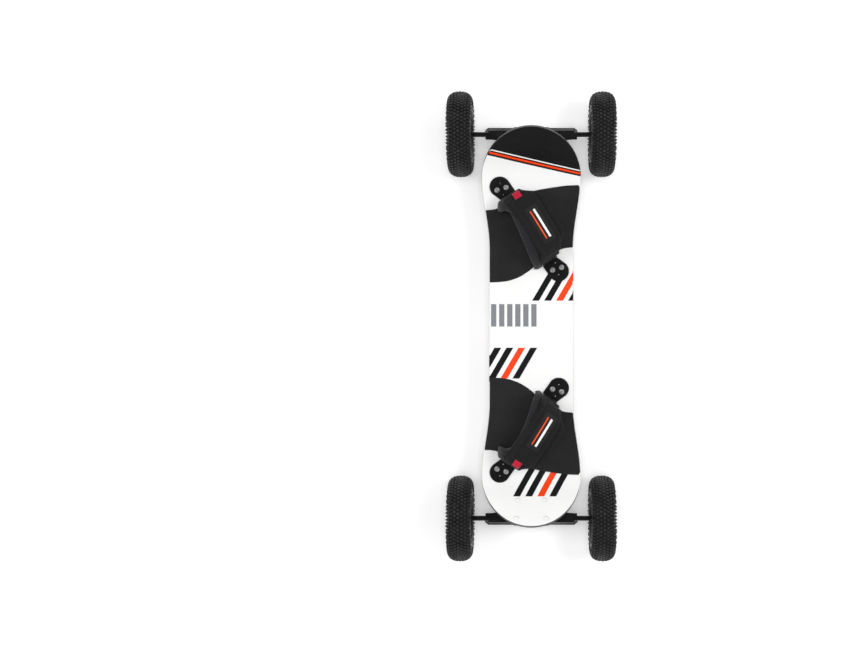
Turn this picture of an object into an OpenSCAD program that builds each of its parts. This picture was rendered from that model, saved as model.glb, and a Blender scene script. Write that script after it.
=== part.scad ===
// All-terrain mountainboard: a laminated deck with turned-up tips, two sprung
// channel trucks, four pneumatic wheels and two foot bindings.
// X runs across the board to the toe side, Y along it to the nose and Z up.
// The origin is on the ground, under the middle of the board.

/* [Deck] */
// Length over both tips, seen from above
deck_length = 922; // [900:2:940]
// Thickness of the laminate
deck_t = 11; // [9:0.5:13]
// Width at the waist
deck_waist = 197; // [180:1:210]
// Width at the widest place, where the tips begin
deck_wide = 232; // [220:1:240]
// Height of the underside above the ground
deck_z = 115; // [110:1:125]
// Upward angle of the tips
tip_angle = 35; // [30:1:38]
// Radius of the bend between the flat and a tip, on the underside
bend_r = 90; // [60:5:110]

/* [Wheels] */
// Distance between the front and rear axle lines
wheelbase = 906; // [890:2:930]
// Distance between the middles of the left and right tyres
track = 334; // [320:2:350]
// Outer diameter of the tyre
tyre_d = 200; // [196:1:205]
// Width of the tyre
tyre_w = 60; // [54:1:62]
// Diameter of the bead seat on the rim
rim_d = 99; // [98:1:101]
// Number of spokes in a hub
spokes = 5; // [4:1:6]

/* [Trucks] */
// Length of the hanger between its chamfered ends
hanger_w = 220; // [210:2:230]
// Width of the base plate
base_w = 99; // [94:1:110]
// Diameter of the kingpin
kingpin_d = 10; // [8:1:10]
// Diameter of an elastomer
elastomer_d = 25; // [20:1:26]
// Sideways distance from the kingpin to an elastomer
elastomer_x = 31.3; // [29:0.1:33]
// Diameter of the stub axle where it shows
axle_d = 12; // [11:0.5:13]

/* [Bindings] */
// Distance along the board from its middle to the middle of a strap
strap_y = 235; // [225:1:245]
// Distance that both straps sit further towards the tail
strap_shift = 7.5; // [0:0.5:10]
// Angle between a strap and the X axis
strap_angle = 58; // [54:1:60]
// Distance between the two anchors of a strap
anchor_gap = 240; // [236:1:242]
// Inner height of the strap arch
strap_h = 72; // [60:1:80]
// Thickness of the footpads
pad_t = 3; // [2:0.5:4]
// Distance that the rear footpad sits further towards the tail
pad_shift = 17; // [0:1:18]

/* [Hidden] */
$fn = 48;

FRONT = 1;
REAR = -1;
LEFT = -1;
RIGHT = 1;
gap = 0.05;                                  // radial clearance of a running fit

// Deck
deck_top = deck_z + deck_t;
tip_y = deck_length / 2;
wide_y = tip_y - deck_wide / 2 + 8;          // where the round tip begins
waist_y = 178;                               // where the straight waist ends
bend_y = 368;                                // where the flat and incline planes meet
bend_start = bend_y - bend_r * tan(tip_angle / 2);

// Truck: the axle line, and the foot of its perpendicular on the incline
axle_y = wheelbase / 2;
axle_z = tyre_d / 2;
foot_u = (axle_y - bend_y) * cos(tip_angle) + (axle_z - deck_z) * sin(tip_angle);
foot_y = bend_y + foot_u * cos(tip_angle);
foot_z = deck_z + foot_u * sin(tip_angle);
axle_n = (axle_y - bend_y) * sin(tip_angle) - (axle_z - deck_z) * cos(tip_angle);

// Truck frame: y runs down the incline to the board's middle, z away from the deck
base_t = 6;
base_in = 26;
base_out = 44;
king_n = 28;
king_r = kingpin_d / 2;
bush_r = king_r + 2.5;
ear_r = 13;
ear_t = 7;
pivot_in = 18.5;                             // inner end of the hanger's pivot tube
pivot_out = 21.5;
washer_y = pivot_in + ear_t + 0.55;
elastomer_y = 11.5;
elastomer_low = 16;
elastomer_high = 50;
seat_r = elastomer_d / 2 + 2;
plate_z = 69;
plate_t = 4.5;
plate_edge = 11.5;                           // from the axle line to the straight edge
plate_arm = 12;
plate_deep = 34;
bolt_out = 34;                               // the outer pair of mounting bolts
bolt_r = 3;

// Wheel
wheel_x = track / 2;
tyre_r = tyre_d / 2;
rim_r = rim_d / 2;
hub_half = 16.5;
bearing_r = 13;
bearing_w = 8;
spindle_r = 5;
shoulder_x = wheel_x - hub_half - 12;
window_angle = 360 / spokes - 24;
tube_mid = (tyre_r + rim_r) / 2;

// Binding: x runs along the strap, y across it to the toes
strap_x = -4.6;
arch_n = 2.4;                                // roundness of the arch
arch_base = 4.5;
arch_half = 78;
liner_t = 10;
anchor_t = 4;
cover_t = 3.2;
flap_t = 2.6;
skin = 0.4;                                  // gap between neighbouring layers
tongue0 = liner_t + skin;                    // growth of the arch where each layer begins
cover0 = tongue0 + anchor_t + skin;
flap0 = cover0 + cover_t + skin;
anchor_r = 24;                               // round end of an anchor
anchor_turn = 6;                             // how far that end swings sideways
bolt_pitch = 21.8;
bolt_slant = 16;
anchor_at = [[-69.3, 328.2], [60.1, 142.1]]; // middles of the front bolt pairs
cover_end = 24;
flap_root = 35;
flap_end = 130;
tab_end = 146;

// ---- curves ----

function deck_half(y) =
  abs(y) < waist_y ? deck_waist / 2 :
  deck_waist / 2 + (deck_wide - deck_waist) / 4
    * (1 - cos(180 * (abs(y) - waist_y) / (wide_y - waist_y)));

function arch_point(a, grow) = [
  sign(cos(a)) * (arch_half + grow) * pow(abs(cos(a)), 2 / arch_n),
  arch_base + (strap_h + grow) * pow(sin(a), 2 / arch_n)
];

function tyre_point(a, wall) = [
  sign(cos(a)) * (tyre_w / 2 - wall) * pow(abs(cos(a)), 0.85),
  tube_mid + sign(sin(a)) * (tyre_r - tube_mid - wall) * pow(abs(sin(a)), 0.85)
];

// Inner edge of the hanger plate, deep at the kingpin and slim at the arms
function plate_edge_in(x) =
  x < 40 ? plate_deep :
  x > 92 ? plate_arm :
  plate_arm + (plate_deep - plate_arm) * (1 + cos(180 * (x - 40) / 52)) / 2;

// ---- places ----

module at_end(end) {
  rotate([0, 0, end == FRONT ? 0 : 180]) children();
}

module at_truck(end) {
  at_end(end) translate([0, foot_y, foot_z]) rotate([tip_angle - 180, 0, 0]) children();
}

// An axle's own line: z runs outwards along it from the middle of the board
module at_axle(end, side) {
  at_end(end) translate([0, axle_y, axle_z]) rotate([0, side * 90, 0]) children();
}

module at_wheel(end, side) {
  at_axle(end, side * end) translate([0, 0, wheel_x]) children();
}

module at_strap_place(end) {
  translate([0, -strap_shift, 0]) mirror([0, end == FRONT ? 0 : 1, 0]) children();
}

module at_binding(end) {
  at_strap_place(end)
    translate([strap_x, strap_y, deck_top]) rotate([0, 0, -strap_angle]) children();
}

module at_binding_bolts(ends) {
  for (end = ends, middle = anchor_at, side = [-1, 1])
    at_strap_place(end)
      translate([middle[0], middle[1], deck_top])
        rotate([0, 0, bolt_slant]) translate([side * bolt_pitch / 2, 0, 0]) children();
}

// The four mounting bolts of a truck, in its frame
module at_mount_bolts(end) {
  at_truck(end) for (side = [-1, 1]) {
    translate([side * bolt_out, -bolt_out, 0]) children();
    translate([side * elastomer_x, elastomer_y, 0]) children();
  }
}

module both_sides() {
  for (side = [-1, 1]) translate([side * elastomer_x, elastomer_y, 0]) children();
}

// ---- shared shapes ----

module ring(r_out, r_in, z0, z1) {
  translate([0, 0, z0]) difference() {
    cylinder(r = r_out, h = z1 - z0);
    translate([0, 0, -1]) cylinder(r = r_in, h = z1 - z0 + 2);
  }
}

module rod(r, z0, z1) {
  translate([0, 0, z0]) cylinder(r = r, h = z1 - z0);
}

module hex(across, z0, z1) {
  translate([0, 0, z0]) cylinder(r = across / sqrt(3), h = z1 - z0, $fn = 6);
}

// A hexagon nut or nut blank with a through bore
module nut(across, bore_r, z0, z1) {
  difference() {
    hex(across, z0, z1);
    rod(bore_r, z0 - 1, z1 + 1);
  }
}

// A domed head with a hexagon socket, sitting on z = 0
module button_head(r, h) {
  difference() {
    cylinder(r1 = r, r2 = r * 0.72, h = h);
    hex(r * 0.62, h * 0.45, h + 1);
  }
}

module deck_plan(edge = 0) {
  side = [
    for (y = [-wide_y : wide_y / 24 : wide_y + 0.01]) [deck_half(y) - edge, y],
    for (a = [6 : 6 : 174])
      [(deck_wide / 2 - edge) * cos(a), wide_y + (tip_y - wide_y - edge) * sin(a)]
  ];
  polygon(concat(side, [for (p = side) -p]));
}

// Side view of the laminate, drawn along the board
module deck_profile() {
  arc = [for (a = [0 : tip_angle / 7 : tip_angle + 0.01]) a];
  mid = [bend_start, deck_z + bend_r];
  reach = 140;
  under = concat(
    [for (a = arc) mid + bend_r * [sin(a), -cos(a)]],
    [[bend_y + reach * cos(tip_angle), deck_z + reach * sin(tip_angle)]]);
  step = deck_t * [-sin(tip_angle), cos(tip_angle)];
  over = concat(
    [under[len(under) - 1] + step],
    [for (i = [len(arc) - 1 : -1 : 0])
      mid + (bend_r - deck_t) * [sin(arc[i]), -cos(arc[i])]]);
  half = concat(under, over);
  last = len(half) - 1;
  polygon(concat(half, [for (i = [last : -1 : 0]) [-half[i][0], half[i][1]]]));
}

// A slice of the strap arch between two growths and two angles
module arch_band(grow0, grow1, a0, a1) {
  steps = 22;
  angles = [for (i = [0 : steps]) a0 + (a1 - a0) * i / steps];
  rotate([90, 0, 0]) linear_extrude(height = 160, center = true)
    polygon(concat(
      [for (a = angles) arch_point(a, grow1)],
      [for (i = [steps : -1 : 0]) arch_point(angles[i], grow0)]));
}

// The same slice, cut to the plan in which the strap was sewn
module strap_layer(grow0, grow1, a0, a1, plan) {
  intersection() {
    arch_band(grow0, grow1, a0, a1);
    translate([0, 0, -1]) linear_extrude(height = 140) polygon(plan);
  }
}

module hanger_plan() {
  half = concat(
    [[hanger_w / 2 - 8, -plate_edge], [hanger_w / 2, -plate_edge + 8],
     [hanger_w / 2, plate_arm - 5], [hanger_w / 2 - 5, plate_arm]],
    [for (x = [92 : -6.5 : 40]) [x, plate_edge_in(x)]]);
  last = len(half) - 1;
  polygon(concat(half, [for (i = [last : -1 : 0]) [-half[i][0], half[i][1]]]));
}

// The bent lip that follows the hanger's inner edge
module hanger_lip() {
  xs = [for (x = [-98.5 : 6.5 : 98.6]) x];
  last = len(xs) - 1;
  polygon(concat(
    [for (x = xs) [x, plate_edge_in(abs(x))]],
    [for (i = [last : -1 : 0]) [xs[i], plate_edge_in(abs(xs[i])) - 3.5]]));
}

// ---- deck and footpads ----

module deck_blank() {
  rotate([90, 0, 90]) linear_extrude(height = 260, center = true) deck_profile();
}

module deck() {
  color("white") difference() {
    intersection() {
      deck_blank();
      linear_extrude(height = 260) deck_plan();
    }
    at_binding_bolts([FRONT, REAR]) {
      rod(bolt_r + 1.2, -deck_t - 1, 1);
      rod(9.6, -deck_t - 1, -deck_t + 1.6);
    }
    for (end = [FRONT, REAR]) at_mount_bolts(end) {
      rod(bolt_r + 0.2, -deck_t - 1, 1);
      rod(6.2, -deck_t - 1, -deck_t + 3.4);
    }
  }
}

module footpad(end) {
  shape = [
    [-130, 272], [-80, 272], [-7, 313], [14, 318.5], [45, 324], [85, 329.5], [130, 330.5],
    [130, 185.5], [71, 183.5], [21, 153], [-3, 130.5], [-28, 114.5], [-52, 106.2],
    [-76, 103], [-130, 102]
  ];
  color("dimgray") difference() {
    translate([0, 0, deck_top]) linear_extrude(height = pad_t) intersection() {
      deck_plan(edge = 1.5);
      if (end == FRONT) polygon(shape);
      else translate([0, -pad_shift]) mirror([0, 1]) polygon(shape);
    }
    if (end == REAR) translate([0, 0, gap]) deck_blank();
  }
}

module front_footpad() footpad(FRONT);
module rear_footpad() footpad(REAR);

// ---- truck pieces fixed to the deck ----

module base_plan() {
  r = 14;
  w = base_w / 2 - r;
  union() {
    translate([-w, -base_out]) square([2 * w, base_out + base_in]);
    translate([-base_w / 2, -base_out + r]) square([base_w, base_out + base_in - 2 * r]);
    for (x = [-w, w], y = [-base_out + r, base_in - r]) translate([x, y]) circle(r = r);
  }
}

module ear(y0) {
  translate([0, y0, 0]) {
    translate([-ear_r, 0, base_t - 1]) cube([2 * ear_r, ear_t, king_n - base_t + 1]);
    translate([0, ear_t, king_n]) rotate([90, 0, 0]) cylinder(r = ear_r, h = ear_t);
  }
}

module truck_base(end) {
  color("black") {
    at_truck(end) difference() {
      union() {
        linear_extrude(height = base_t) base_plan();
        ear(pivot_in + 0.5);
        ear(-pivot_out - 0.5 - ear_t);
        both_sides() rod(seat_r, base_t - 1, elastomer_low + 4);
      }
      translate([0, 60, king_n]) rotate([90, 0, 0]) cylinder(r = king_r + gap, h = 120);
      both_sides() {
        rod(elastomer_d / 2 + 0.4, elastomer_low, elastomer_low + 5);
        rod(6.6, base_t, elastomer_low + 1);
        rod(bolt_r + 0.2, -1, base_t + 1);
      }
      for (side = [-1, 1]) translate([side * bolt_out, -bolt_out, -1])
        cylinder(r = bolt_r + 0.2, h = base_t + 2);
    }
  }
}

module front_truck_base() truck_base(FRONT);
module rear_truck_base() truck_base(REAR);

module truck_mount_bolts() {
  color("silver") for (end = [FRONT, REAR]) at_mount_bolts(end) difference() {
    union() {
      rod(bolt_r, -deck_t + 1, base_t + 7);
      rod(6, -deck_t + 0.3, -deck_t + 3.3);
    }
    hex(4, -deck_t - 1, -deck_t + 2);
  }
}

module truck_mount_nuts() {
  color("silver") for (end = [FRONT, REAR]) at_mount_bolts(end)
    nut(10, bolt_r + gap, base_t + 0.02, base_t + 6);
}

module kingpin(end) {
  color("silver") at_truck(end) translate([0, 0, king_n]) rotate([-90, 0, 0]) {
    rod(king_r, -pivot_out - ear_t - 1, 53);
    hex(15, -pivot_out - ear_t - 7.5, -pivot_out - ear_t - 0.55);
  }
}

module front_kingpin() kingpin(FRONT);
module rear_kingpin() kingpin(REAR);

module kingpin_washers() {
  color("silver") for (end = [FRONT, REAR])
    at_truck(end) translate([0, 0, king_n]) rotate([-90, 0, 0])
      ring(11.5, king_r + gap, washer_y, washer_y + 2.4);
}

module kingpin_nuts() {
  color("silver") for (end = [FRONT, REAR])
    at_truck(end) translate([0, 0, king_n]) rotate([-90, 0, 0])
      nut(17, king_r + gap, washer_y + 2.45, washer_y + 12);
}

module elastomers(end) {
  color("peru") at_truck(end) both_sides() difference() {
    rod(elastomer_d / 2, elastomer_low, elastomer_high);
    rod(4.6, elastomer_high - 9, elastomer_high + 1);
  }
}

module front_elastomers() elastomers(FRONT);
module rear_elastomers() elastomers(REAR);

// ---- hanger and what turns with it ----

module hanger(end) {
  block_in = 68;
  block_h = 9;
  color("black") at_truck(end) difference() {
    union() {
      translate([0, 0, plate_z]) linear_extrude(height = plate_t) hanger_plan();
      translate([0, 0, 58]) linear_extrude(height = plate_z - 57) hanger_lip();
      translate([-hanger_w / 2 + 9, -plate_edge, 57])
        cube([hanger_w - 18, 3.5, plate_z - 56]);
      for (side = [-1, 1])
        translate([side * (block_in + hanger_w / 2 - 2) / 2, 0, (axle_n - 8.5 + plate_z + 1) / 2])
          cube([hanger_w / 2 - 2 - block_in, 2 * block_h, plate_z + 1 - axle_n + 8.5],
               center = true);
      translate([0, pivot_in, king_n]) rotate([90, 0, 0])
        cylinder(r = 12, h = pivot_in + pivot_out);
      translate([-9, -plate_edge, king_n]) cube([18, plate_edge + pivot_in, plate_z + 1 - king_n]);
      both_sides() rod(seat_r, elastomer_high, plate_z + 1);
    }
    translate([0, 60, king_n]) rotate([90, 0, 0]) cylinder(r = bush_r, h = 120);
    for (side = [-1, 1]) translate([0, 0, axle_n]) rotate([0, side * 90, 0])
      rod(axle_d / 2, block_in + 4, 130);
    both_sides() rod(4.1, elastomer_high - 1, plate_z + plate_t + 1);
  }
}

module front_hanger() hanger(FRONT);
module rear_hanger() hanger(REAR);

module pivot_bushes(end) {
  color("ivory") at_truck(end) translate([0, 0, king_n]) rotate([-90, 0, 0]) {
    ring(bush_r, king_r + gap, -pivot_out, -pivot_out + 14);
    ring(bush_r, king_r + gap, pivot_in - 14, pivot_in);
  }
}

module front_pivot_bushes() pivot_bushes(FRONT);
module rear_pivot_bushes() pivot_bushes(REAR);

module elastomer_bolts(end) {
  color("silver") at_truck(end) both_sides() {
    rod(4, elastomer_high - 8, plate_z + plate_t);
    translate([0, 0, plate_z + plate_t]) button_head(6.8, 4);
  }
}

module front_elastomer_bolts() elastomer_bolts(FRONT);
module rear_elastomer_bolts() elastomer_bolts(REAR);

module axles(end) {
  color("silver") for (side = [LEFT, RIGHT]) at_axle(end, side) {
    rod(axle_d / 2, 72.5, shoulder_x);
    rod(spindle_r, shoulder_x - 1, wheel_x + hub_half + 12);
  }
}

module front_axles() axles(FRONT);
module rear_axles() axles(REAR);

module axle_spacers(end) {
  color("silver") for (side = [LEFT, RIGHT]) at_wheel(end, side) {
    ring(7.8, spindle_r + gap, shoulder_x - wheel_x + 0.05, -hub_half + 0.45);
    ring(7, spindle_r + gap, -hub_half + bearing_w + 0.55, hub_half - bearing_w - 0.55);
    ring(9.5, spindle_r + gap, hub_half - 0.45, hub_half + 1.2);
  }
}

module front_axle_spacers() axle_spacers(FRONT);
module rear_axle_spacers() axle_spacers(REAR);

module inner_races(end) {
  color("silver") for (side = [LEFT, RIGHT], out = [-1, 1]) at_wheel(end, side)
    translate([0, 0, out * (hub_half - bearing_w / 2 - 0.5)])
      ring(7.6, spindle_r + gap, -bearing_w / 2, bearing_w / 2);
}

module front_inner_races() inner_races(FRONT);
module rear_inner_races() inner_races(REAR);

module axle_nuts(end) {
  color("silver") for (side = [LEFT, RIGHT]) at_wheel(end, side)
    nut(16, spindle_r + gap, hub_half + 1.25, hub_half + 10);
}

module front_axle_nuts() axle_nuts(FRONT);
module rear_axle_nuts() axle_nuts(REAR);

// ---- wheels ----

module tyre(end, side) {
  wall = 4.5;
  from = -46;
  step = 8;
  outer = [for (a = [from : step : 180 - from + 0.01]) tyre_point(a, 0)];
  inner = [for (a = [180 - from : -step : from - 0.01]) tyre_point(a, wall)];
  color("dimgray") at_wheel(end, side) rotate_extrude($fn = 96)
    rotate(90) mirror([0, 1]) union() {
      polygon(concat(outer, inner));
      for (s = [-1, 1])
        translate([s * 17.6 - 2.2, rim_r + 0.05]) square([4.4, 9.5]);
    }
}

module tube(end, side) {
  wall = 6.2;
  steps = 24;
  function round_loop(shrink) =
    [for (i = [0 : steps - 1]) tyre_point(360 * i / steps, wall + shrink) + [0, shrink / 8]];
  color("black") at_wheel(end, side) {
    rotate_extrude($fn = 64) rotate(90) mirror([0, 1]) difference() {
      polygon(round_loop(0.5));
      polygon(round_loop(2));
    }
    rotate([0, 90, 180 / spokes]) rod(2.8, 37, rim_r + 7.2);
  }
}

// One moulded half of a hub, z running outwards from the joint between the halves
module hub_half_shell() {
  difference() {
    union() {
      ring(18.5, 9.5, 0.01, hub_half);
      ring(rim_r - 1.5, 18, 0.01, 9);
      ring(rim_r, rim_r - 3.5, 0.01, 20);
      ring(rim_r + 5, rim_r - 3.5, 19.9, 22.6);
    }
    rod(bearing_r, hub_half - bearing_w - 0.5, hub_half + 1);
    for (i = [0 : spokes - 1]) rotate([0, 0, 360 / spokes * i + 12]) {
      translate([0, 0, -1]) rotate_extrude(angle = window_angle)
        translate([23, 0]) square([rim_r - 4.5 - 23, 12]);
      rotate([0, 0, -12]) translate([30, 0, 0]) rod(2.7, -1, 12);
    }
    rotate([0, 90, 180 / spokes]) rod(4.2, 30, rim_r + 4);
  }
}

module hub(end, side) {
  color("black") at_wheel(end, side) {
    hub_half_shell();
    rotate([180, 0, 0]) rotate([0, 0, -360 / spokes]) hub_half_shell();
  }
}

module hub_bolts(end, side) {
  color("silver") at_wheel(end, side)
    for (i = [0 : spokes - 1]) rotate([0, 0, 360 / spokes * i]) translate([30, 0, 0]) {
      rod(2.5, -13.5, 9.5);
      translate([0, 0, 9.02]) button_head(4.6, 3);
      nut(8, 2.45, -13, -9.02);
    }
}

module bearings(end, side) {
  color("silver") at_wheel(end, side) for (out = [-1, 1])
    translate([0, 0, out * (hub_half - bearing_w / 2 - 0.5)]) {
      ring(bearing_r, 10.6, -bearing_w / 2, bearing_w / 2);
      ring(10.7, 8, -bearing_w / 2 + 0.5, bearing_w / 2 - 0.5);
    }
}

module front_left_tyre() tyre(FRONT, LEFT);
module front_right_tyre() tyre(FRONT, RIGHT);
module rear_left_tyre() tyre(REAR, LEFT);
module rear_right_tyre() tyre(REAR, RIGHT);
module front_left_tube() tube(FRONT, LEFT);
module front_right_tube() tube(FRONT, RIGHT);
module rear_left_tube() tube(REAR, LEFT);
module rear_right_tube() tube(REAR, RIGHT);
module front_left_hub() hub(FRONT, LEFT);
module front_right_hub() hub(FRONT, RIGHT);
module rear_left_hub() hub(REAR, LEFT);
module rear_right_hub() hub(REAR, RIGHT);
module front_left_hub_bolts() hub_bolts(FRONT, LEFT);
module front_right_hub_bolts() hub_bolts(FRONT, RIGHT);
module rear_left_hub_bolts() hub_bolts(REAR, LEFT);
module rear_right_hub_bolts() hub_bolts(REAR, RIGHT);
module front_left_bearings() bearings(FRONT, LEFT);
module front_right_bearings() bearings(FRONT, RIGHT);
module rear_left_bearings() bearings(REAR, LEFT);
module rear_right_bearings() bearings(REAR, RIGHT);

// ---- bindings ----

// Round end of an anchor, turned a little on its bolts, and the neck that leads to the arch
module anchor_plan() {
  root = arch_half + tongue0;
  middle = anchor_gap / 2;
  translate([middle, anchor_turn]) circle(r = anchor_r);
  polygon([
    [root, -21.5], [middle + 4.5, anchor_turn + 2 - anchor_r],
    [middle - 4.5, anchor_turn - 2 + anchor_r], [root, 21.5]
  ]);
}

module anchors(end) {
  color("black") difference() {
    union() {
      intersection() {
        at_binding(end) for (turn = [0, 180])
          rotate([0, 0, turn]) linear_extrude(height = 4 * arch_base) anchor_plan();
        translate([0, 0, arch_base]) deck_blank();
      }
      at_binding(end) for (turn = [0, 180]) rotate([0, 0, turn]) intersection() {
        arch_band(tongue0, tongue0 + anchor_t, 0, 32);
        translate([0, -20, arch_base - 0.5]) cube([120, 40, 80]);
      }
    }
    at_binding_bolts([end]) {
      rod(bolt_r + 0.2, -1, arch_base + 1);
      rod(7.3, arch_base, 4 * arch_base);
    }
    translate([0, 0, gap]) deck_blank();
  }
}

module front_anchors() anchors(FRONT);
module rear_anchors() anchors(REAR);

module binding_bolts() {
  color("silver") at_binding_bolts([FRONT, REAR]) {
    rod(bolt_r, -deck_t + 1, arch_base + 0.5);
    translate([0, 0, arch_base + 0.02]) button_head(6.8, 3.6);
  }
}

module binding_tnuts() {
  color("silver") at_binding_bolts([FRONT, REAR]) {
    ring(bolt_r + 1.1, bolt_r + gap, -deck_t + 0.5, -2);
    ring(9.5, bolt_r + gap, -deck_t + 0.1, -deck_t + 1.5);
  }
}

module strap_liner(end) {
  plan = [[-96, -30], [-96, 22], [-48, 58], [48, 58], [96, 22], [96, -30]];
  color("dimgray") at_binding(end) strap_layer(0, liner_t, 0, 180, plan);
}

module front_strap_liner() strap_liner(FRONT);
module rear_strap_liner() strap_liner(REAR);

module strap_cover(end) {
  plan = [
    [-110, -22], [-110, 22], [-86, 28], [-50, 62], [50, 62], [86, 28], [110, 22],
    [110, -22], [60, -11], [-60, -11]
  ];
  color("dimgray") at_binding(end)
    strap_layer(cover0, cover0 + cover_t, cover_end, 180 - cover_end, plan);
}

module front_strap_cover() strap_cover(FRONT);
module rear_strap_cover() strap_cover(REAR);

module strap_flap(end) {
  plan = [[-110, -8], [-110, 34], [-50, 52], [50, 52], [110, 30], [110, -8]];
  color("gray") at_binding(end)
    strap_layer(flap0, flap0 + flap_t, flap_root, flap_end, plan);
}

module front_strap_flap() strap_flap(FRONT);
module rear_strap_flap() strap_flap(REAR);

module pull_tab(end) {
  plan = [[-120, 5], [-120, 23], [0, 23], [0, 5]];
  color("crimson") at_binding(end)
    strap_layer(flap0 + 0.3, flap0 + flap_t, flap_end + 0.1, tab_end, plan);
}

module front_pull_tab() pull_tab(FRONT);
module rear_pull_tab() pull_tab(REAR);

// ---- every node, drawn alone or together ----

deck();
front_footpad();
rear_footpad();
front_truck_base();
rear_truck_base();
truck_mount_bolts();
truck_mount_nuts();
front_kingpin();
rear_kingpin();
kingpin_washers();
kingpin_nuts();
front_elastomers();
rear_elastomers();
front_anchors();
rear_anchors();
binding_bolts();
binding_tnuts();
front_strap_liner();
rear_strap_liner();
front_strap_cover();
rear_strap_cover();
front_strap_flap();
rear_strap_flap();
front_pull_tab();
rear_pull_tab();
front_hanger();
front_pivot_bushes();
front_elastomer_bolts();
front_axles();
front_axle_spacers();
front_inner_races();
front_axle_nuts();
rear_hanger();
rear_pivot_bushes();
rear_elastomer_bolts();
rear_axles();
rear_axle_spacers();
rear_inner_races();
rear_axle_nuts();
front_left_tyre();
front_left_tube();
front_left_hub();
front_left_hub_bolts();
front_left_bearings();
front_right_tyre();
front_right_tube();
front_right_hub();
front_right_hub_bolts();
front_right_bearings();
rear_left_tyre();
rear_left_tube();
rear_left_hub();
rear_left_hub_bolts();
rear_left_bearings();
rear_right_tyre();
rear_right_tube();
rear_right_hub();
rear_right_hub_bolts();
rear_right_bearings();
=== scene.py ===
"""Looks of an all-terrain board: a printed deck, sewn foot straps, sprung trucks and knobbly tyres."""

import math
from itertools import accumulate

import bmesh
import bpy
from mathutils import Matrix, Vector, geometry


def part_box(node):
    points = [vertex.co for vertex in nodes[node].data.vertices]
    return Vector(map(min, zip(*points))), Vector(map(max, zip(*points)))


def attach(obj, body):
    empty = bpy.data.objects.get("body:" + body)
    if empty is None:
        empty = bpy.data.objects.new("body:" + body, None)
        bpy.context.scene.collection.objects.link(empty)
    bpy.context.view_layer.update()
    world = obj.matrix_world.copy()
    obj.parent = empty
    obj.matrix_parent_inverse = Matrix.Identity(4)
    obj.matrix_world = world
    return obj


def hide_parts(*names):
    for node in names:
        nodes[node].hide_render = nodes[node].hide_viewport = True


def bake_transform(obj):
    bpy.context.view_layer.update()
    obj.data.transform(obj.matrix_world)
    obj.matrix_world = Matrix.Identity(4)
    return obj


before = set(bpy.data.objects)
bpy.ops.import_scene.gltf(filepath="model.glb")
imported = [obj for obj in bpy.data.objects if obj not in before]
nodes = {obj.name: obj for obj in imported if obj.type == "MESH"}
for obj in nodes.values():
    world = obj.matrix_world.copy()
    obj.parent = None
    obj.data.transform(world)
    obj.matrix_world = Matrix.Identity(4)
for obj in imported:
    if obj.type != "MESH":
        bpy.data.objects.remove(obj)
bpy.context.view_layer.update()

MM = 0.001
FRONT, REAR = 1, -1
ENDS = {"front": FRONT, "rear": REAR}
SIDES = {"left": -1, "right": 1}

# Driving dimensions, in millimetres. The frame gives what it can.
deck_low, deck_high = (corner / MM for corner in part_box("deck"))
TIP_Y = deck_high.y
WIDE_HALF = deck_high.x
DECK_Z = deck_low.z
DECK_T = 11
WAIST_HALF = 98.5
WAIST_Y = 178
WIDE_Y = 353
BEND_Y = 368
BEND_R = 90
TIP_ANGLE = math.radians(35)
BEND_START = BEND_Y - BEND_R * math.tan(TIP_ANGLE / 2)
BEND_END = BEND_START + BEND_R * TIP_ANGLE
DECK_TOP = DECK_Z + DECK_T

STRAP_X, STRAP_Y, STRAP_SHIFT = -4.6, 235, 7.5
STRAP_ANGLE = math.radians(58)
ARCH_HALF, ARCH_HEIGHT, ARCH_BASE, ARCH_ROUND = 78, 72, 4.5, 2.4


# ---- making meshes ----

def add_object(name, mesh):
    piece = bpy.data.objects.new(name, mesh)
    bpy.context.scene.collection.objects.link(piece)
    return piece


def assign(target, **values):
    """Sets several attributes at once"""
    for name, value in values.items():
        setattr(target, name, value)
    return target


def shade_smooth(mesh):
    mesh.polygons.foreach_set("use_smooth", [True] * len(mesh.polygons))


def make_piece(name, points, faces, materials, slots=None, normals=None, sharp=None):
    """A smooth-shaded piece from points in millimetres"""
    mesh = bpy.data.meshes.new(name)
    mesh.from_pydata([Vector(p) * MM for p in points], [], faces)
    for material in materials:
        mesh.materials.append(material)
    if slots:
        mesh.polygons.foreach_set("material_index", slots)
    shade_smooth(mesh)
    mesh.update()
    if sharp is not None:
        mesh.set_sharp_from_angle(angle=math.radians(sharp))
    if normals:
        mesh.normals_split_custom_set_from_vertices(normals)
    return add_object(name, mesh)


def mark_weave(piece, values):
    """Stores each point's place on the cloth, along it and across it, for the woven materials"""
    attribute = piece.data.attributes.new("weave", "FLOAT_VECTOR", "POINT")
    attribute.data.foreach_set("vector", [x * MM for value in values for x in value])


def settle(piece, body, slot, *stands_for):
    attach(piece, body)
    if stands_for:
        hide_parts(*stands_for)
    return piece


def inside(point, outline):
    """Whether a point lies in a closed outline"""
    x, y = point[0], point[1]
    hit = False
    for (x0, y0), (x1, y1) in zip(outline, outline[1:] + outline[:1]):
        if (y0 > y) != (y1 > y) and x < x0 + (y - y0) * (x1 - x0) / (y1 - y0):
            hit = not hit
    return hit


def chopped(outline, step, closed=True):
    """The same outline with its long edges cut into short ones"""
    ends = outline[1:] + outline[:1] if closed else outline[1:]
    points = []
    for a, b in zip(outline, ends):
        count = max(1, math.ceil(math.dist(a, b) / step))
        points += [tuple(p + (q - p) * i / count for p, q in zip(a, b)) for i in range(count)]
    return points if closed else points + [outline[-1]]


def wrapped(rows, size, first=0):
    """Quads between successive closed rings of points"""
    return [[first + i * size + k, first + i * size + (k + 1) % size,
             first + (i + 1) * size + (k + 1) % size, first + (i + 1) * size + k]
            for i in range(rows) for k in range(size)]


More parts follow.
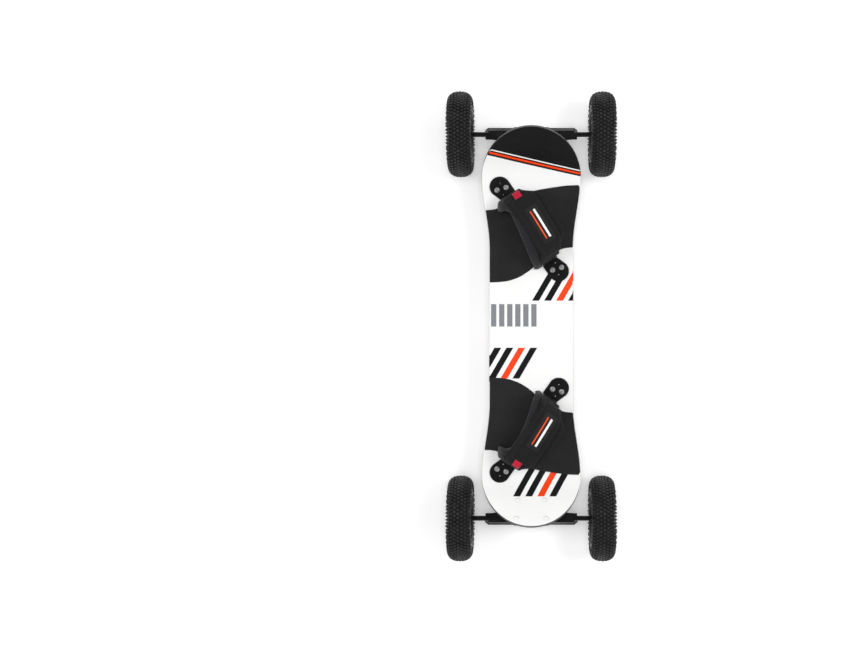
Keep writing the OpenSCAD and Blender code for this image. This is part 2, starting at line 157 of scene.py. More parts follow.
def closed_tube(rows, size, first=0):
    """Quads between rings of points, and a face over each end"""
    last = first + rows * size
    ends = [list(range(first, first + size))[::-1], list(range(last, last + size))]
    return wrapped(rows, size, first) + ends


def centre(points):
    """Mean of some points, in two or three dimensions"""
    return sum(map(Vector, points), Vector([0] * len(points[0]))) / len(points)


def runs_along(path):
    """Length of a path up to each of its points"""
    return [0, *accumulate(math.dist(a, b) for a, b in zip(path, path[1:]))]


def cut_flat(loops, cuts, tolerance=0.001):
    """Triangles over the first loop, cut along every loop and every (start, end) line.
    Returns the points, the triangles and what each point came from"""
    points, edges = [], []
    for loop in loops:
        first = len(points)
        points += [Vector(p) for p in loop]
        edges += [(first + i, first + (i + 1) % len(loop)) for i in range(len(loop))]
    for start, end in cuts:
        edges.append((len(points), len(points) + 1))
        points += [Vector(start), Vector(end)]
    flat, _, triangles, origins, _, _ = geometry.delaunay_2d_cdt(points, edges, [], 0, tolerance)
    return flat, [list(f) for f in triangles if inside(centre([flat[i] for i in f]), loops[0])], origins


def smooth_step(x, low, high):
    share = min(1, max(0, (x - low) / (high - low)))
    return share * share * (3 - 2 * share)


# ---- materials ----

class Finish:
    """A material whose Principled shader is fed by procedural nodes"""

    def __init__(self, name, colour, roughness, **constants):
        self.material = bpy.data.materials.new(name)
        self.material.use_nodes = True
        self.tree = self.material.node_tree
        self.shader = self.tree.nodes["Principled BSDF"]
        self.colour = (*colour, 1)
        self.shader.inputs["Base Color"].default_value = self.colour
        self.shader.inputs["Roughness"].default_value = roughness
        for name, value in constants.items():
            self.shader.inputs[name.replace("_", " ")].default_value = value
        self.point = self.add("TexCoord").outputs["Object"]

    def add(self, kind, settings=None, **inputs):
        node = assign(self.tree.nodes.new("ShaderNode" + kind), **(settings or {}))
        for key, value in inputs.items():
            socket = node.inputs[int(key[1:])] if key[0] == "i" and key[1:].isdigit() else node.inputs[key]
            if isinstance(value, bpy.types.NodeSocket):
                self.tree.links.new(value, socket)
            else:
                socket.default_value = value
        return node

    def feed(self, socket, value):
        self.tree.links.new(value, self.shader.inputs[socket])

    def stretched(self, x, y, z):
        return self.add("Mapping", Vector=self.point, Scale=(x, y, z)).outputs[0]

    def noise(self, scale, detail=3, source=None):
        return self.add("TexNoise", Vector=source or self.point, Scale=scale, Detail=detail).outputs[0]

    def cells(self, scale):
        return self.add("TexVoronoi", Vector=self.point, Scale=scale).outputs["Distance"]

    def wave(self, scale, direction, source):
        node = self.add("TexWave", {"bands_direction": direction}, Vector=source, Scale=scale)
        return node.outputs["Fac"]

    def span(self, value, low, high, to_low=0.0, to_high=1.0):
        return self.add("MapRange", Value=value, i1=low, i2=high, i3=to_low, i4=to_high).outputs[0]

    def math(self, operation, a, b):
        return self.add("Math", {"operation": operation}, i0=a, i1=b).outputs[0]

    def mix(self, share, a, b):
        node = self.add("Mix", {"data_type": "RGBA"}, Factor=share)
        for socket, value in ((node.inputs[6], a), (node.inputs[7], b)):
            if isinstance(value, bpy.types.NodeSocket):
                self.tree.links.new(value, socket)
            else:
                socket.default_value = value
        return node.outputs[2]

    def tint(self, share, factor):
        """Varies the colour towards factor times itself"""
        other = (*(min(1, c * factor) for c in self.colour[:3]), 1)
        return self.mix(share, self.colour, other)

    def bump(self, *layers):
        """Stacks (height, distance in millimetres) layers"""
        normal = None
        for height, depth in layers:
            node = self.add("Bump", Height=height, Distance=depth * MM)
            if normal:
                self.tree.links.new(normal, node.inputs["Normal"])
            normal = node.outputs[0]
        self.feed("Normal", normal)


def lacquer(name, colour):
    """Printed film under clear lacquer, with faint orange peel and hairline scuffs"""
    finish = Finish(name, colour, 0.34, Specular_IOR_Level=0.22)
    cloud = finish.noise(14, 4)
    scuffs = finish.noise(45, 5, finish.stretched(2.5, 0.8, 1))
    finish.feed("Base Color", finish.tint(finish.span(cloud, 0.35, 0.75, 0, 0.12), 0.82))
    finish.feed("Roughness", finish.span(scuffs, 0.35, 0.75, 0.3, 0.4))
    finish.bump((finish.noise(700, 1), 0.015))
    return finish.material


def veneer(name, colour):
    """Cut edge of one stained veneer, with grain along the board"""
    finish = Finish(name, colour, 0.55, Specular_IOR_Level=0.35)
    grain = finish.noise(90, 6, finish.stretched(1, 0.08, 6))
    finish.feed("Base Color", finish.tint(finish.span(grain, 0.35, 0.7), 0.45))
    finish.bump((grain, 0.12))
    return finish.material


def foam(name, colour):
    """Closed-cell foam with a pebbled skin and a little dust in it"""
    finish = Finish(name, colour, 0.85, Sheen_Weight=0.08, Sheen_Roughness=0.5, Specular_IOR_Level=0.2)
    pebbles = finish.cells(620)
    grit = finish.noise(2600, 2)
    cloud = finish.noise(22, 4)
    shade = finish.math("MULTIPLY", finish.span(pebbles, 0.15, 0.6), finish.span(cloud, 0.3, 0.7, 0.5, 1))
    finish.feed("Base Color", finish.tint(shade, 1.7))
    finish.feed("Roughness", finish.span(grit, 0.3, 0.7, 0.72, 0.92))
    finish.bump((finish.span(pebbles, 0, 0.5, 1, 0), 0.22), (grit, 0.05))
    return finish.material


def woven(name, colour, thread, gloss=0.7):
    """Plain weave that follows the strap, from the coordinates stored on its points, with painted shade
    between the threads
    """
    finish = Finish(name, colour, gloss, Sheen_Weight=0.06, Sheen_Roughness=0.4, Specular_IOR_Level=0.2)
    along = finish.add("Attribute", {"attribute_name": "weave"}).outputs["Vector"]
    scale = 0.1 / (thread * MM)
    warp = finish.wave(scale, "X", along)
    weft = finish.wave(scale, "Y", along)
    height = finish.math("MAXIMUM", warp, finish.math("MULTIPLY", weft, 0.85))
    cloud = finish.noise(35, 4)
    # Raised threads painted lighter and the gaps between them darker, painted shade of the weave, with a
    # random cloudy tone added
    finish.feed("Base Color", finish.tint(finish.span(finish.math("ADD", height, cloud), 0.7, 1.7), 2.1))
    finish.bump((height, thread * 0.28), (finish.noise(1800, 2), 0.05))
    return finish.material


def knit(name, colour):
    """Fine knitted face of padding, with loops that don't need a layout"""
    finish = Finish(name, colour, 0.85, Sheen_Weight=0.12, Sheen_Roughness=0.45, Specular_IOR_Level=0.15)
    loops = finish.cells(950)
    lint = finish.noise(240, 5)
    shade = finish.math("MULTIPLY", loops, finish.span(lint, 0.3, 0.7, 0.7, 1.3))
    finish.feed("Base Color", finish.tint(shade, 2.4))
    finish.bump((finish.noise(120, 2), 0.3), (finish.span(loops, 0, 0.55, 1, 0), 0.25))
    return finish.material


def thread(name, colour):
    finish = Finish(name, colour, 0.6, Sheen_Weight=0.1)
    twist = finish.wave(900, "DIAGONAL", finish.point)
    finish.feed("Base Color", finish.tint(twist, 0.6))
    finish.bump((twist, 0.06))
    return finish.material


def rubber(name, colour, gloss):
    """Tyre rubber, scuffed most on the tread's crown, with painted shade darkening the block sides and the
    gaps between blocks
    """
    finish = Finish(name, colour, gloss, Specular_IOR_Level=0.45)
    parts = finish.add("SeparateXYZ", Vector=finish.point).outputs
    radius = finish.math("SQRT", finish.math("ADD", finish.math("MULTIPLY", parts[1], parts[1]),
                                             finish.math("MULTIPLY", parts[2], parts[2])), 0)
    # Lighter at the outermost radius and darker below it: crown wear on the block tops, painted shade down
    # their sides and in the gaps
    crown_wear_and_shade = finish.span(radius, 0.0965, 0.1)
    dust = finish.noise(55, 5)
    scuff_and_shade = finish.math("MULTIPLY", finish.span(dust, 0.35, 0.7), finish.span(crown_wear_and_shade, 0, 1, 0.35, 1))
    finish.feed("Base Color", finish.tint(scuff_and_shade, 3.2))
    finish.feed("Roughness", finish.span(dust, 0.3, 0.7, gloss - 0.12, gloss + 0.14))
    finish.bump((finish.noise(420, 4), 0.12), (finish.noise(1600, 2), 0.04))
    return finish.material


def moulded(name, colour, roughness=0.45):
    """Moulded plastic with a fine spark-eroded grain and a few rubbed places"""
    finish = Finish(name, colour, roughness, Specular_IOR_Level=0.3)
    pits = finish.noise(1040, 3)
    rubbed = finish.noise(28, 5)
    finish.feed("Base Color", finish.tint(finish.span(rubbed, 0.45, 0.75), 1.7))
    finish.feed("Roughness", finish.span(rubbed, 0.35, 0.7, roughness + 0.08, roughness - 0.12))
    finish.bump((pits, 0.06))
    return finish.material


def powder_coat(name, colour):
    """Black powder coat with orange peel, road dust and small chips"""
    finish = Finish(name, colour, 0.38, Specular_IOR_Level=0.32)
    peel = finish.noise(480, 2)
    dust = finish.noise(18, 6)
    chips = finish.span(finish.noise(170, 5), 0.72, 0.75)
    dusty = finish.tint(finish.span(dust, 0.45, 0.75), 2.6)
    finish.feed("Base Color", finish.mix(chips, dusty, (0.16, 0.16, 0.165, 1)))
    finish.feed("Roughness", finish.span(dust, 0.35, 0.75, 0.32, 0.58))
    finish.bump((peel, 0.09), (finish.math("SUBTRACT", 1.0, chips), 0.05))
    return finish.material


def steel(name, colour, roughness=0.3, metallic=1.0):
    """Zinc-plated steel with fine turned lines and a milky bloom"""
    finish = Finish(name, colour, roughness, Metallic=metallic)
    lines = finish.noise(260, 3, finish.stretched(6, 6, 1))
    bloom = finish.noise(90, 4)
    finish.feed("Base Color", finish.tint(finish.span(bloom, 0.4, 0.7), 0.72))
    finish.feed("Roughness", finish.span(lines, 0.3, 0.7, roughness - 0.08, roughness + 0.14))
    finish.bump((lines, 0.02))
    return finish.material


def polyurethane(name, colour):
    """Cast amber elastomer, a little cloudy"""
    finish = Finish(name, colour, 0.35, Subsurface_Weight=0.35, Subsurface_Scale=0.004, Coat_Weight=0.2)
    cloud = finish.noise(110, 4)
    finish.feed("Base Color", finish.tint(finish.span(cloud, 0.35, 0.7), 0.6))
    finish.feed("Roughness", finish.span(cloud, 0.3, 0.7, 0.28, 0.5))
    finish.bump((finish.noise(300, 3), 0.08))
    return finish.material


WHITE = lacquer("print_white", (0.85, 0.85, 0.845))
BLACK = lacquer("print_black", (0.0085, 0.0085, 0.0092))
ORANGE = lacquer("print_orange", (0.84, 0.055, 0.008))
RED = lacquer("print_red", (0.72, 0.022, 0.02))
GREY = lacquer("print_grey", (0.21, 0.225, 0.245))
PLY_DARK = veneer("ply_dark", (0.035, 0.034, 0.033))
PLY_LIGHT = veneer("ply_light", (0.22, 0.215, 0.205))
FOAM = foam("pad_foam", (0.0135, 0.0135, 0.014))
COVER_CLOTH = woven("cover_cloth", (0.007, 0.007, 0.0075), 1.3)
FLAP_CLOTH = woven("flap_cloth", (0.008, 0.008, 0.0085), 1.0)
RIBBON = woven("red_ribbon", (0.38, 0.008, 0.028), 0.7, 0.5)
PADDING = knit("padding_knit", (0.0125, 0.0125, 0.0135))
THREAD = thread("seam_thread", (0.02, 0.02, 0.0215))
LABEL = woven("label_cloth", (0.0125, 0.0125, 0.013), 0.5)
LABEL_WHITE = woven("label_white", (0.74, 0.74, 0.73), 0.5)
LABEL_ORANGE = woven("label_orange", (0.6, 0.06, 0.015), 0.5)
CARCASS = rubber("carcass_rubber", (0.0042, 0.0042, 0.0046), 0.4)
TREAD_RUBBER = rubber("tread_rubber", (0.0125, 0.0125, 0.0132), 0.56)
NYLON = moulded("black_nylon", (0.0045, 0.0045, 0.005))
HUB_NYLON = moulded("hub_nylon", (0.008, 0.008, 0.0085), 0.4)
TUBE_RUBBER = moulded("tube_rubber", (0.012, 0.012, 0.012), 0.6)
COAT = powder_coat("black_coat", (0.0045, 0.0045, 0.005))
STEEL = steel("zinc_steel", (0.62, 0.615, 0.6), 0.38)
DARK_STEEL = steel("bearing_steel", (0.45, 0.45, 0.46), 0.22)
BLACK_STEEL = steel("black_steel", (0.07, 0.07, 0.073), 0.26)
BRIGHT_ZINC = steel("bright_zinc", (0.74, 0.74, 0.725), 0.3, 0.82)
AMBER = polyurethane("amber_elastomer", (0.16, 0.05, 0.02))
BUSH = moulded("bush_plastic", (0.62, 0.58, 0.45), 0.4)


# ---- deck ----

def deck_half(y):
    """Half width of the deck's plan at y, up to where the tips begin"""
    share = max(0, (abs(y) - WAIST_Y) / (WIDE_Y - WAIST_Y))
    return WAIST_HALF + (WIDE_HALF - WAIST_HALF) / 2 * (1 - math.cos(math.pi * min(1, share)))


def run_of(y, level=0):
    """Distance along the underside to the place that lies over plan position y"""
    radius = BEND_R - level
    beyond = abs(y) - BEND_START
    if beyond <= 0:
        run = abs(y)
    elif beyond <= radius * math.sin(TIP_ANGLE):
        run = BEND_START + BEND_R * math.asin(beyond / radius)
    else:
        run = BEND_END + (beyond - radius * math.sin(TIP_ANGLE)) / math.cos(TIP_ANGLE)
    return math.copysign(run, y)


def laminate(x, run, level):
    """(point, up) in the laminate: across, along its underside and up through it"""
    beyond = abs(run) - BEND_START
    angle = min(TIP_ANGLE, max(0, beyond / BEND_R))
    ramp = max(0, abs(run) - BEND_END)
    y = min(abs(run), BEND_START) + (BEND_R - level) * math.sin(angle) + ramp * math.cos(angle)
    z = DECK_Z + BEND_R - (BEND_R - level) * math.cos(angle) + ramp * math.sin(angle)
    side = math.copysign(1, run)
    return Vector((x, side * y, z)), Vector((0, -side * math.sin(angle), math.cos(angle)))


def deck_outline():
    """Closed outline of the underside, in x and run, inset for the rounded edge"""
    steps = 30
    half = [(deck_half(y), y) for y in (WIDE_Y * i / steps for i in range(-steps, steps + 1))]
    half += [(WIDE_HALF * math.cos(a), WIDE_Y + (TIP_Y - WIDE_Y) * math.sin(a))
             for a in (math.radians(3 * i) for i in range(1, 60))]
    plan = half + [(-x, -y) for x, y in half]
    return [(x, run_of(y)) for x, y in plan]


def offset_loop(loop, distance):
    """Moves every point of a counterclockwise loop outwards"""
    moved = []
    for i, (x, y) in enumerate(loop):
        (x0, y0), (x1, y1) = loop[i - 1], loop[(i + 1) % len(loop)]
        length = math.hypot(x1 - x0, y1 - y0)
        moved.append((x + (y1 - y0) / length * distance, y - (x1 - x0) / length * distance))
    return moved


def cross_band(y, width):
    """A straight band right across the deck, its lower edge at y in the middle"""
    left, right = y + CROSS_SLOPE * FAR, y - CROSS_SLOPE * FAR
    return [(-FAR, left), (FAR, right), (FAR, right + width), (-FAR, left + width)]


def slanted_bars(x, y, count, width, gap, height, lean):
    """A row of parallel slanted bars that starts at x, y"""
    starts = [x + i * (width + gap) for i in range(count)]
    return [[(a, y), (a + width, y), (a + width + lean, y + height), (a + lean, y + height)] for a in starts]


def on_level(outline, level):
    """An outline given in plan, moved to run coordinates for one face of the laminate"""
    return [(x, run_of(y, level)) for x, y in chopped(outline, 7)]


# Prints, in plan. Each entry is (material number, outline); later ones lie over earlier ones.
PRINT = [WHITE, BLACK, ORANGE, RED, GREY]
P_WHITE, P_BLACK, P_ORANGE, P_RED, P_GREY = range(5)
PLY_SLOTS = (5, 6)
FAR = 140
CROSS_SLOPE = 0.214


def upper_print():
    """Plain stripes of no particular design, with a black nose"""
    art = [(P_BLACK, cross_band(375, 200)), (P_ORANGE, cross_band(379, 4.5)),
           (P_WHITE, cross_band(386.5, 2.5))]
    groups = (((2, 60), (P_BLACK, P_BLACK, P_ORANGE, P_BLACK)),
              ((-128, -122), (P_BLACK, P_BLACK, P_ORANGE, P_BLACK)),
              ((-42, -394), (P_BLACK, P_BLACK, P_ORANGE, P_BLACK)))
    for (x, y), colours in groups:
        art += zip(colours, slanted_bars(x, y, len(colours), 16, 12, 72, 42))
    return art + [(P_GREY, bar) for bar in slanted_bars(-94, -0.5, 6, 12.4, 6.4, 52.5, 0)]


def lower_print():
    """Plain bands across a black underside"""
    return [(P_WHITE, cross_band(375, 200)), (P_WHITE, cross_band(-20, 46)), (P_RED, cross_band(-44, 12)),
            (P_WHITE, cross_band(-330, 30)), (P_RED, cross_band(-350, 10))]


def circle(x, y, radius, count=24):
    return [(x + radius * math.cos(2 * math.pi * i / count), y + radius * math.sin(2 * math.pi * i / count))
            for i in range(count)]


# The truck frame starts where the axle's perpendicular meets the tip's underside
AXLE_Y, AXLE_Z = 453, 100
FOOT_U = (AXLE_Y - BEND_Y) * math.cos(TIP_ANGLE) + (AXLE_Z - DECK_Z) * math.sin(TIP_ANGLE)
FOOT = Vector((0, BEND_Y + FOOT_U * math.cos(TIP_ANGLE), DECK_Z + FOOT_U * math.sin(TIP_ANGLE)))
PIN_X, PIN_Y = 31.3, 11.5
MOUNT_BOLTS = ((34, -34), (PIN_X, PIN_Y))
ANCHOR_PAIRS = ((-69.3, 328.2), (60.1, 142.1))
PAIR_HALF, PAIR_SLANT = 10.9, math.radians(16)
mount_holes = [(side * x, end * (run_of(FOOT.y) - y)) for end in ENDS.values() for side in (-1, 1)
               for x, y in MOUNT_BOLTS]
binding_holes = [(x + side * PAIR_HALF * math.cos(PAIR_SLANT),
                  end * (y + side * PAIR_HALF * math.sin(PAIR_SLANT)) - STRAP_SHIFT)
                 for end in ENDS.values() for x, y in ANCHOR_PAIRS for side in (-1, 1)]
EDGE_R = 2.0
HEAD_R, HEAD_DEPTH = 6.2, 3.4
NUT_R, NUT_DEPTH = 9.6, 1.6
BEND_CUTS = 16
VENEERS = 5


class Skin:
    """Points, normals, faces and material slots of the deck, as they are collected"""

    def __init__(self):
        self.points, self.normals, self.faces, self.slots = [], [], [], []

    def place(self, x, run, level, normal=None, turn=1):
        point, up = laminate(x, run, level)
        self.points.append(point)
        self.normals.append(normal or up * turn)
        return len(self.points) - 1

    def face(self, corners, slot, flip=False):
        self.faces.append(corners[::-1] if flip else corners)
        self.slots.append(slot)


def rim_of(triangles):
    """Points round the outside of the triangles, in order"""
    seen = {pair for face in triangles for pair in zip(face, face[1:] + face[:1])}
    follow = {a: b for a, b in seen if (b, a) not in seen}
    rim = [next(iter(follow))]
    while follow[rim[-1]] != rim[0]:
        rim.append(follow[rim[-1]])
    return rim


def lay_face(skin, flat, triangles, level, art, holes):
    """The printed face at one level, with its holes left open. Returns the new number of each point"""
    index = {}
    base, turn = (P_WHITE, 1) if level else (P_BLACK, -1)
    for face in triangles:
        middle = centre([flat[i] for i in face])
        if any(inside(middle, hole) for hole in holes):
            continue
        for i in face:
            if i not in index:
                index[i] = skin.place(flat[i].x, flat[i].y, level, turn=turn)
        slot = next((m for m, o in reversed(art) if inside(middle, o)), base)
        skin.face([index[i] for i in face], slot, flip=turn < 0)
    return index


def round_edge(skin, loop, top_row, bottom_row, art):
    """The deck's edge: rounded above and below, with the veneers showing between"""
    far = offset_loop(loop, 1)
    round_over = [math.radians(a) for a in (30, 60, 90)]
    profile = [(EDGE_R * math.sin(a), DECK_T - EDGE_R * (1 - math.cos(a)), a) for a in round_over]
    flats = DECK_T - 2 * EDGE_R
    profile += [(EDGE_R, DECK_T - EDGE_R - flats * i / VENEERS, math.pi / 2) for i in range(1, VENEERS)]
    profile += [(EDGE_R * math.sin(a), EDGE_R * (1 - math.cos(a)), math.pi - a) for a in reversed(round_over)]
    printed = None
    bands = [printed, printed] + [PLY_SLOTS[i % 2] for i in range(7)] + [PLY_SLOTS[0]] * 2
    rim_print = [next((m for m, o in reversed(art) if inside(p, o)), P_WHITE) for p in loop]
    rows = [top_row]
    for out, level, angle in profile:
        row = []
        for (x, run), (x1, run1) in zip(loop, far):
            _, up = laminate(x, run, level)
            outward = Vector((x1 - x, 0, 0)) + Vector((0, up.z, -up.y)) * (run1 - run)
            normal = outward.normalized() * math.sin(angle) + up * math.cos(angle)
            row.append(skin.place(x + (x1 - x) * out, run + (run1 - run) * out, level, normal))
        rows.append(row)
    rows.append(bottom_row)
    for upper_row, lower_row, band in zip(rows, rows[1:], bands):
        for i, own_print in enumerate(rim_print):
            j = (i + 1) % len(loop)
            corners = [upper_row[i], lower_row[i], lower_row[j], upper_row[j]]
            skin.face(corners, own_print if band is printed else band)


def sink_holes(skin, holes, level, depth, slot):
    """Walls and floors of round recesses, cut down where depth is below zero, or up from the underside"""
    flip = depth > 0
    for hole in holes:
        middle = centre(hole)
        rings = [[skin.place(x, run, at, Vector((middle.x - x, middle.y - run, 0)).normalized())
                  for x, run in hole] for at in (level, level + depth)]
        floor = [skin.place(x, run, level + depth, turn=-1 if flip else 1) for x, run in hole]
        for i in range(len(hole)):
            j = (i + 1) % len(hole)
            skin.face([rings[0][i], rings[0][j], rings[1][j], rings[1][i]], slot, flip)
        skin.face(floor, slot, flip)


def build_deck():
    outline = offset_loop(deck_outline(), -EDGE_R)
    upper = [(m, on_level(o, DECK_T)) for m, o in upper_print()]
    lower = [(m, on_level(o, 0)) for m, o in lower_print()]
    heads = [circle(x, run, HEAD_R) for x, run in mount_holes]
    recesses = [circle(x, run_of(y), NUT_R) for x, y in binding_holes]
    bend_runs = [side * (BEND_START + (BEND_END - BEND_START) * i / BEND_CUTS)
                 for side in (-1, 1) for i in range(BEND_CUTS + 1)]
    cuts = [((-FAR, run), (FAR, run)) for run in bend_runs]
    flat, triangles, _ = cut_flat([outline] + [o for _, o in upper + lower] + heads + recesses, cuts, 0.01)
    rim = rim_of(triangles)
    skin = Skin()
    top = lay_face(skin, flat, triangles, DECK_T, upper, heads)
    bottom = lay_face(skin, flat, triangles, 0, lower, recesses)
    loop = [tuple(flat[i]) for i in rim]
    round_edge(skin, loop, [top[i] for i in rim], [bottom[i] for i in rim], upper)
    sink_holes(skin, heads, DECK_T, -HEAD_DEPTH, P_BLACK)
    sink_holes(skin, recesses, 0, NUT_DEPTH, PLY_SLOTS[0])
    normals = [n.normalized() for n in skin.normals]
    materials = PRINT + [PLY_DARK, PLY_LIGHT]
    deck = make_piece("printed_deck", skin.points, skin.faces, materials, skin.slots, normals)
    settle(deck, "board", "deck_laminate", "deck")


build_deck()


# ---- plates that lie on the deck ----

def with_crossings(outline, lines):
    """Adds a point wherever a closed outline crosses one of the given y values"""
    points = []
    for (x0, y0), (x1, y1) in zip(outline, outline[1:] + outline[:1]):
        points.append((x0, y0))
        crossed = [y for y in lines if min(y0, y1) + 0.01 < y < max(y0, y1) - 0.01]
        for y in sorted(crossed, reverse=y0 > y1):
            points.append((x0 + (x1 - x0) * (y - y0) / (y1 - y0), y))
    return points


def flat_face(rim, holes, lines):
    """Triangles over a rim, cut along lines of constant y. Returns its points, its triangles,
    and for each point its number on the rim, or None"""
    cuts = [((-300, y), (300, y)) for y in lines]
    flat, triangles, origins = cut_flat([rim] + holes, cuts)
    kept = []
    for face in triangles:
        middle = centre([flat[i] for i in face])
        if not any(inside(middle, hole) for hole in holes):
            kept.append(face)
    on_rim = [next((k for k in origins[i] if k < len(rim)), None) for i in range(len(flat))]
    return flat, kept, on_rim


def plate_on_deck(outline, holes, levels):
    """Points and faces of a plate that follows the deck. The outline is counterclockwise in plan.
    Levels are (outset, height) from its underside up. Holes go right through"""
    lines = [side * (BEND_START + 4 * i) for side in (-1, 1) for i in range(9)]
    outline = with_crossings(outline, lines)
    count = len(outline)
    rings = [offset_loop(outline, out) if out else outline for out, _ in levels]
    spots = [(x, y, height) for ring, (_, height) in zip(rings, levels) for x, y in ring]
    faces = wrapped(len(levels) - 1, count)
    for row, upward in ((0, False), (len(levels) - 1, True)):
        flat, triangles, on_rim = flat_face(rings[row], holes, lines)
        index = {}
        for face in triangles:
            for i in face:
                if i not in index and on_rim[i] is not None:
                    index[i] = row * count + on_rim[i]
                elif i not in index:
                    index[i] = len(spots)
                    spots.append((flat[i].x, flat[i].y, levels[row][1]))
            corners = [index[i] for i in face]
            faces.append(corners if upward else corners[::-1])
    for hole in holes:
        first, size = len(spots), len(hole)
        spots += [(x, y, levels[-1][1]) for x, y in hole] + [(x, y, levels[0][1]) for x, y in hole]
        for i in range(size):
            j = (i + 1) % size
            faces.append([first + j, first + i, first + size + i, first + size + j])
    points = []
    for x, y, height in spots:
        point, up = laminate(x, run_of(y, DECK_T), DECK_T)
        points.append(point + up * height)
    return points, faces


# ---- footpads ----

PAD_T, PAD_SHIFT = 3, 17
PAD_LOW = [(-130, 102), (-76, 103), (-52, 106.2), (-28, 114.5), (-3, 130.5), (21, 153), (71, 183.5),
           (130, 185.5)]
PAD_HIGH = [(-130, 272), (-80, 272), (-7, 313), (14, 318.5), (45, 324), (85, 329.5), (130, 330.5)]


def softened(line):
    """Cuts the corners of an open line twice, keeping its ends"""
    for _ in range(2):
        cut = [line[0]]
        for a, b in zip(line, line[1:]):
            cut.append(tuple(p * 0.8 + q * 0.2 for p, q in zip(a, b)))
            cut.append(tuple(p * 0.2 + q * 0.8 for p, q in zip(a, b)))
        line = cut + [line[-1]]
    return line


def pad_outline(shift):
    """Closed outline of a footpad towards the nose, moved outwards and cut to the deck's edge"""
    def within(line):
        line = chopped(softened([(x, y + shift) for x, y in line]), 6, closed=False)
        return [(x, y) for x, y in line if abs(x) < deck_half(y) - 2]

    low, high = within(PAD_LOW), within(PAD_HIGH)
    right = [(deck_half(y) - 1.5, y) for y in range(math.ceil(low[-1][1]) + 1, int(high[-1][1]), 6)]
    left = [(1.5 - deck_half(y), y) for y in range(int(high[0][1]) - 1, int(low[0][1]), -6)]
    return low + right + high[::-1] + left


def build_footpad(end_name, end):
    outline = pad_outline(PAD_SHIFT if end == REAR else 0)
    if end == REAR:
        outline = [(x, -y) for x, y in reversed(outline)]
    levels = [(0, 0.05), (0, 1.5), (-0.45, 2.35), (-1.1, 2.85), (-1.9, PAD_T)]
    points, faces = plate_on_deck(outline, [], levels)
    pad = make_piece(end_name + "_foam_pad", points, faces, [FOAM], sharp=50)
    settle(pad, "board", "footpad_foam", end_name + "_footpad")


for end_name, end in ENDS.items():
    build_footpad(end_name, end)


# ---- bindings ----

def arch(angle, grow):
    """Height section of a strap: (along, up) at an angle in degrees, straight down past its feet"""
    below = min(0, angle, 180 - angle)
    a = math.radians(min(180, max(0, angle)))
    c, s = math.cos(a), math.sin(a)
    power = 2 / ARCH_ROUND
    along = math.copysign((ARCH_HALF + grow) * abs(c) ** power, c)
    return along, ARCH_BASE + (ARCH_HEIGHT + grow) * s ** power + below


def binding(end, along, across, up):
    """Place in a binding: along the strap, across it to the toes, and up from the deck"""
    c, s = math.cos(STRAP_ANGLE), math.sin(STRAP_ANGLE)
    y = end * (STRAP_Y - along * s + across * c) - STRAP_SHIFT
    return STRAP_X + along * c + across * s, y, DECK_TOP + up


def even_angles(first, last, grow, count):
    """Angles that cut a stretch of the arch into equal lengths, and the lengths so far"""
    fine = [first + (last - first) * i / 400 for i in range(401)]
    runs = runs_along([arch(a, grow) for a in fine])
    angles, k = [], 0
    for i in range(count + 1):
        wanted = runs[-1] * i / count
        while k < 399 and runs[k + 1] < wanted:
            k += 1
        share = (wanted - runs[k]) / max(1e-9, runs[k + 1] - runs[k])
        angles.append(fine[k] + (fine[k + 1] - fine[k]) * min(1, share))
    return angles, [runs[-1] * i / count for i in range(count + 1)]


HEM = 8


def sewn_band(name, end, first, last, edges, low, high, material, hem=0.35, count=60, across=18, swell=None):
    """A closed band along the arch with round edges, folded hems and stored weave coordinates"""
    middle, radius = (low + high) / 2, (high - low) / 2
    angles, runs = even_angles(first, last, middle, count)
    total = runs[-1]
    points, weave = [], []

    def round_side(t, start):
        """Half-round side of the section, from an angle in degrees down"""
        turns = [math.radians(start - 30 * i) for i in range(5)]
        return [(t + radius * math.cos(a), middle + radius * math.sin(a)) for a in turns]

    for angle, run in zip(angles, runs):
        t0, t1 = edges(arch(angle, high)[0])
        from_end = min(run, total - run)
        thin = 0.35 + 0.65 * min(1, math.sqrt(from_end / radius)) if from_end < radius else 1
        flat = t1 - t0 - 2 * radius
        ring = []
        for k in range(across + 1):
            share = k / across
            inset = min(share, 1 - share) * flat
            rise = hem * (1 - smooth_step(min(inset, from_end), HEM - 1.2, HEM))
            if swell:
                rise += swell(run / total, share)
            ring.append((t0 + radius + flat * share, high + rise))
        ring += round_side(t1 - radius, 60)
        ring += [(t0 + radius + flat * (1 - k / across), low) for k in range(across + 1)]
        ring += round_side(t0 + radius, 240)
        for t, grow in ring:
            along, up = arch(angle, middle + (grow - middle) * thin)
            points.append(binding(end, along, t, up))
            weave.append((run, t, 0))
    faces = closed_tube(count, len(ring))
    if end == REAR:
        faces = [f[::-1] for f in faces]
    piece = make_piece(name, points, faces, [material], sharp=55)
    mark_weave(piece, weave)
    return piece


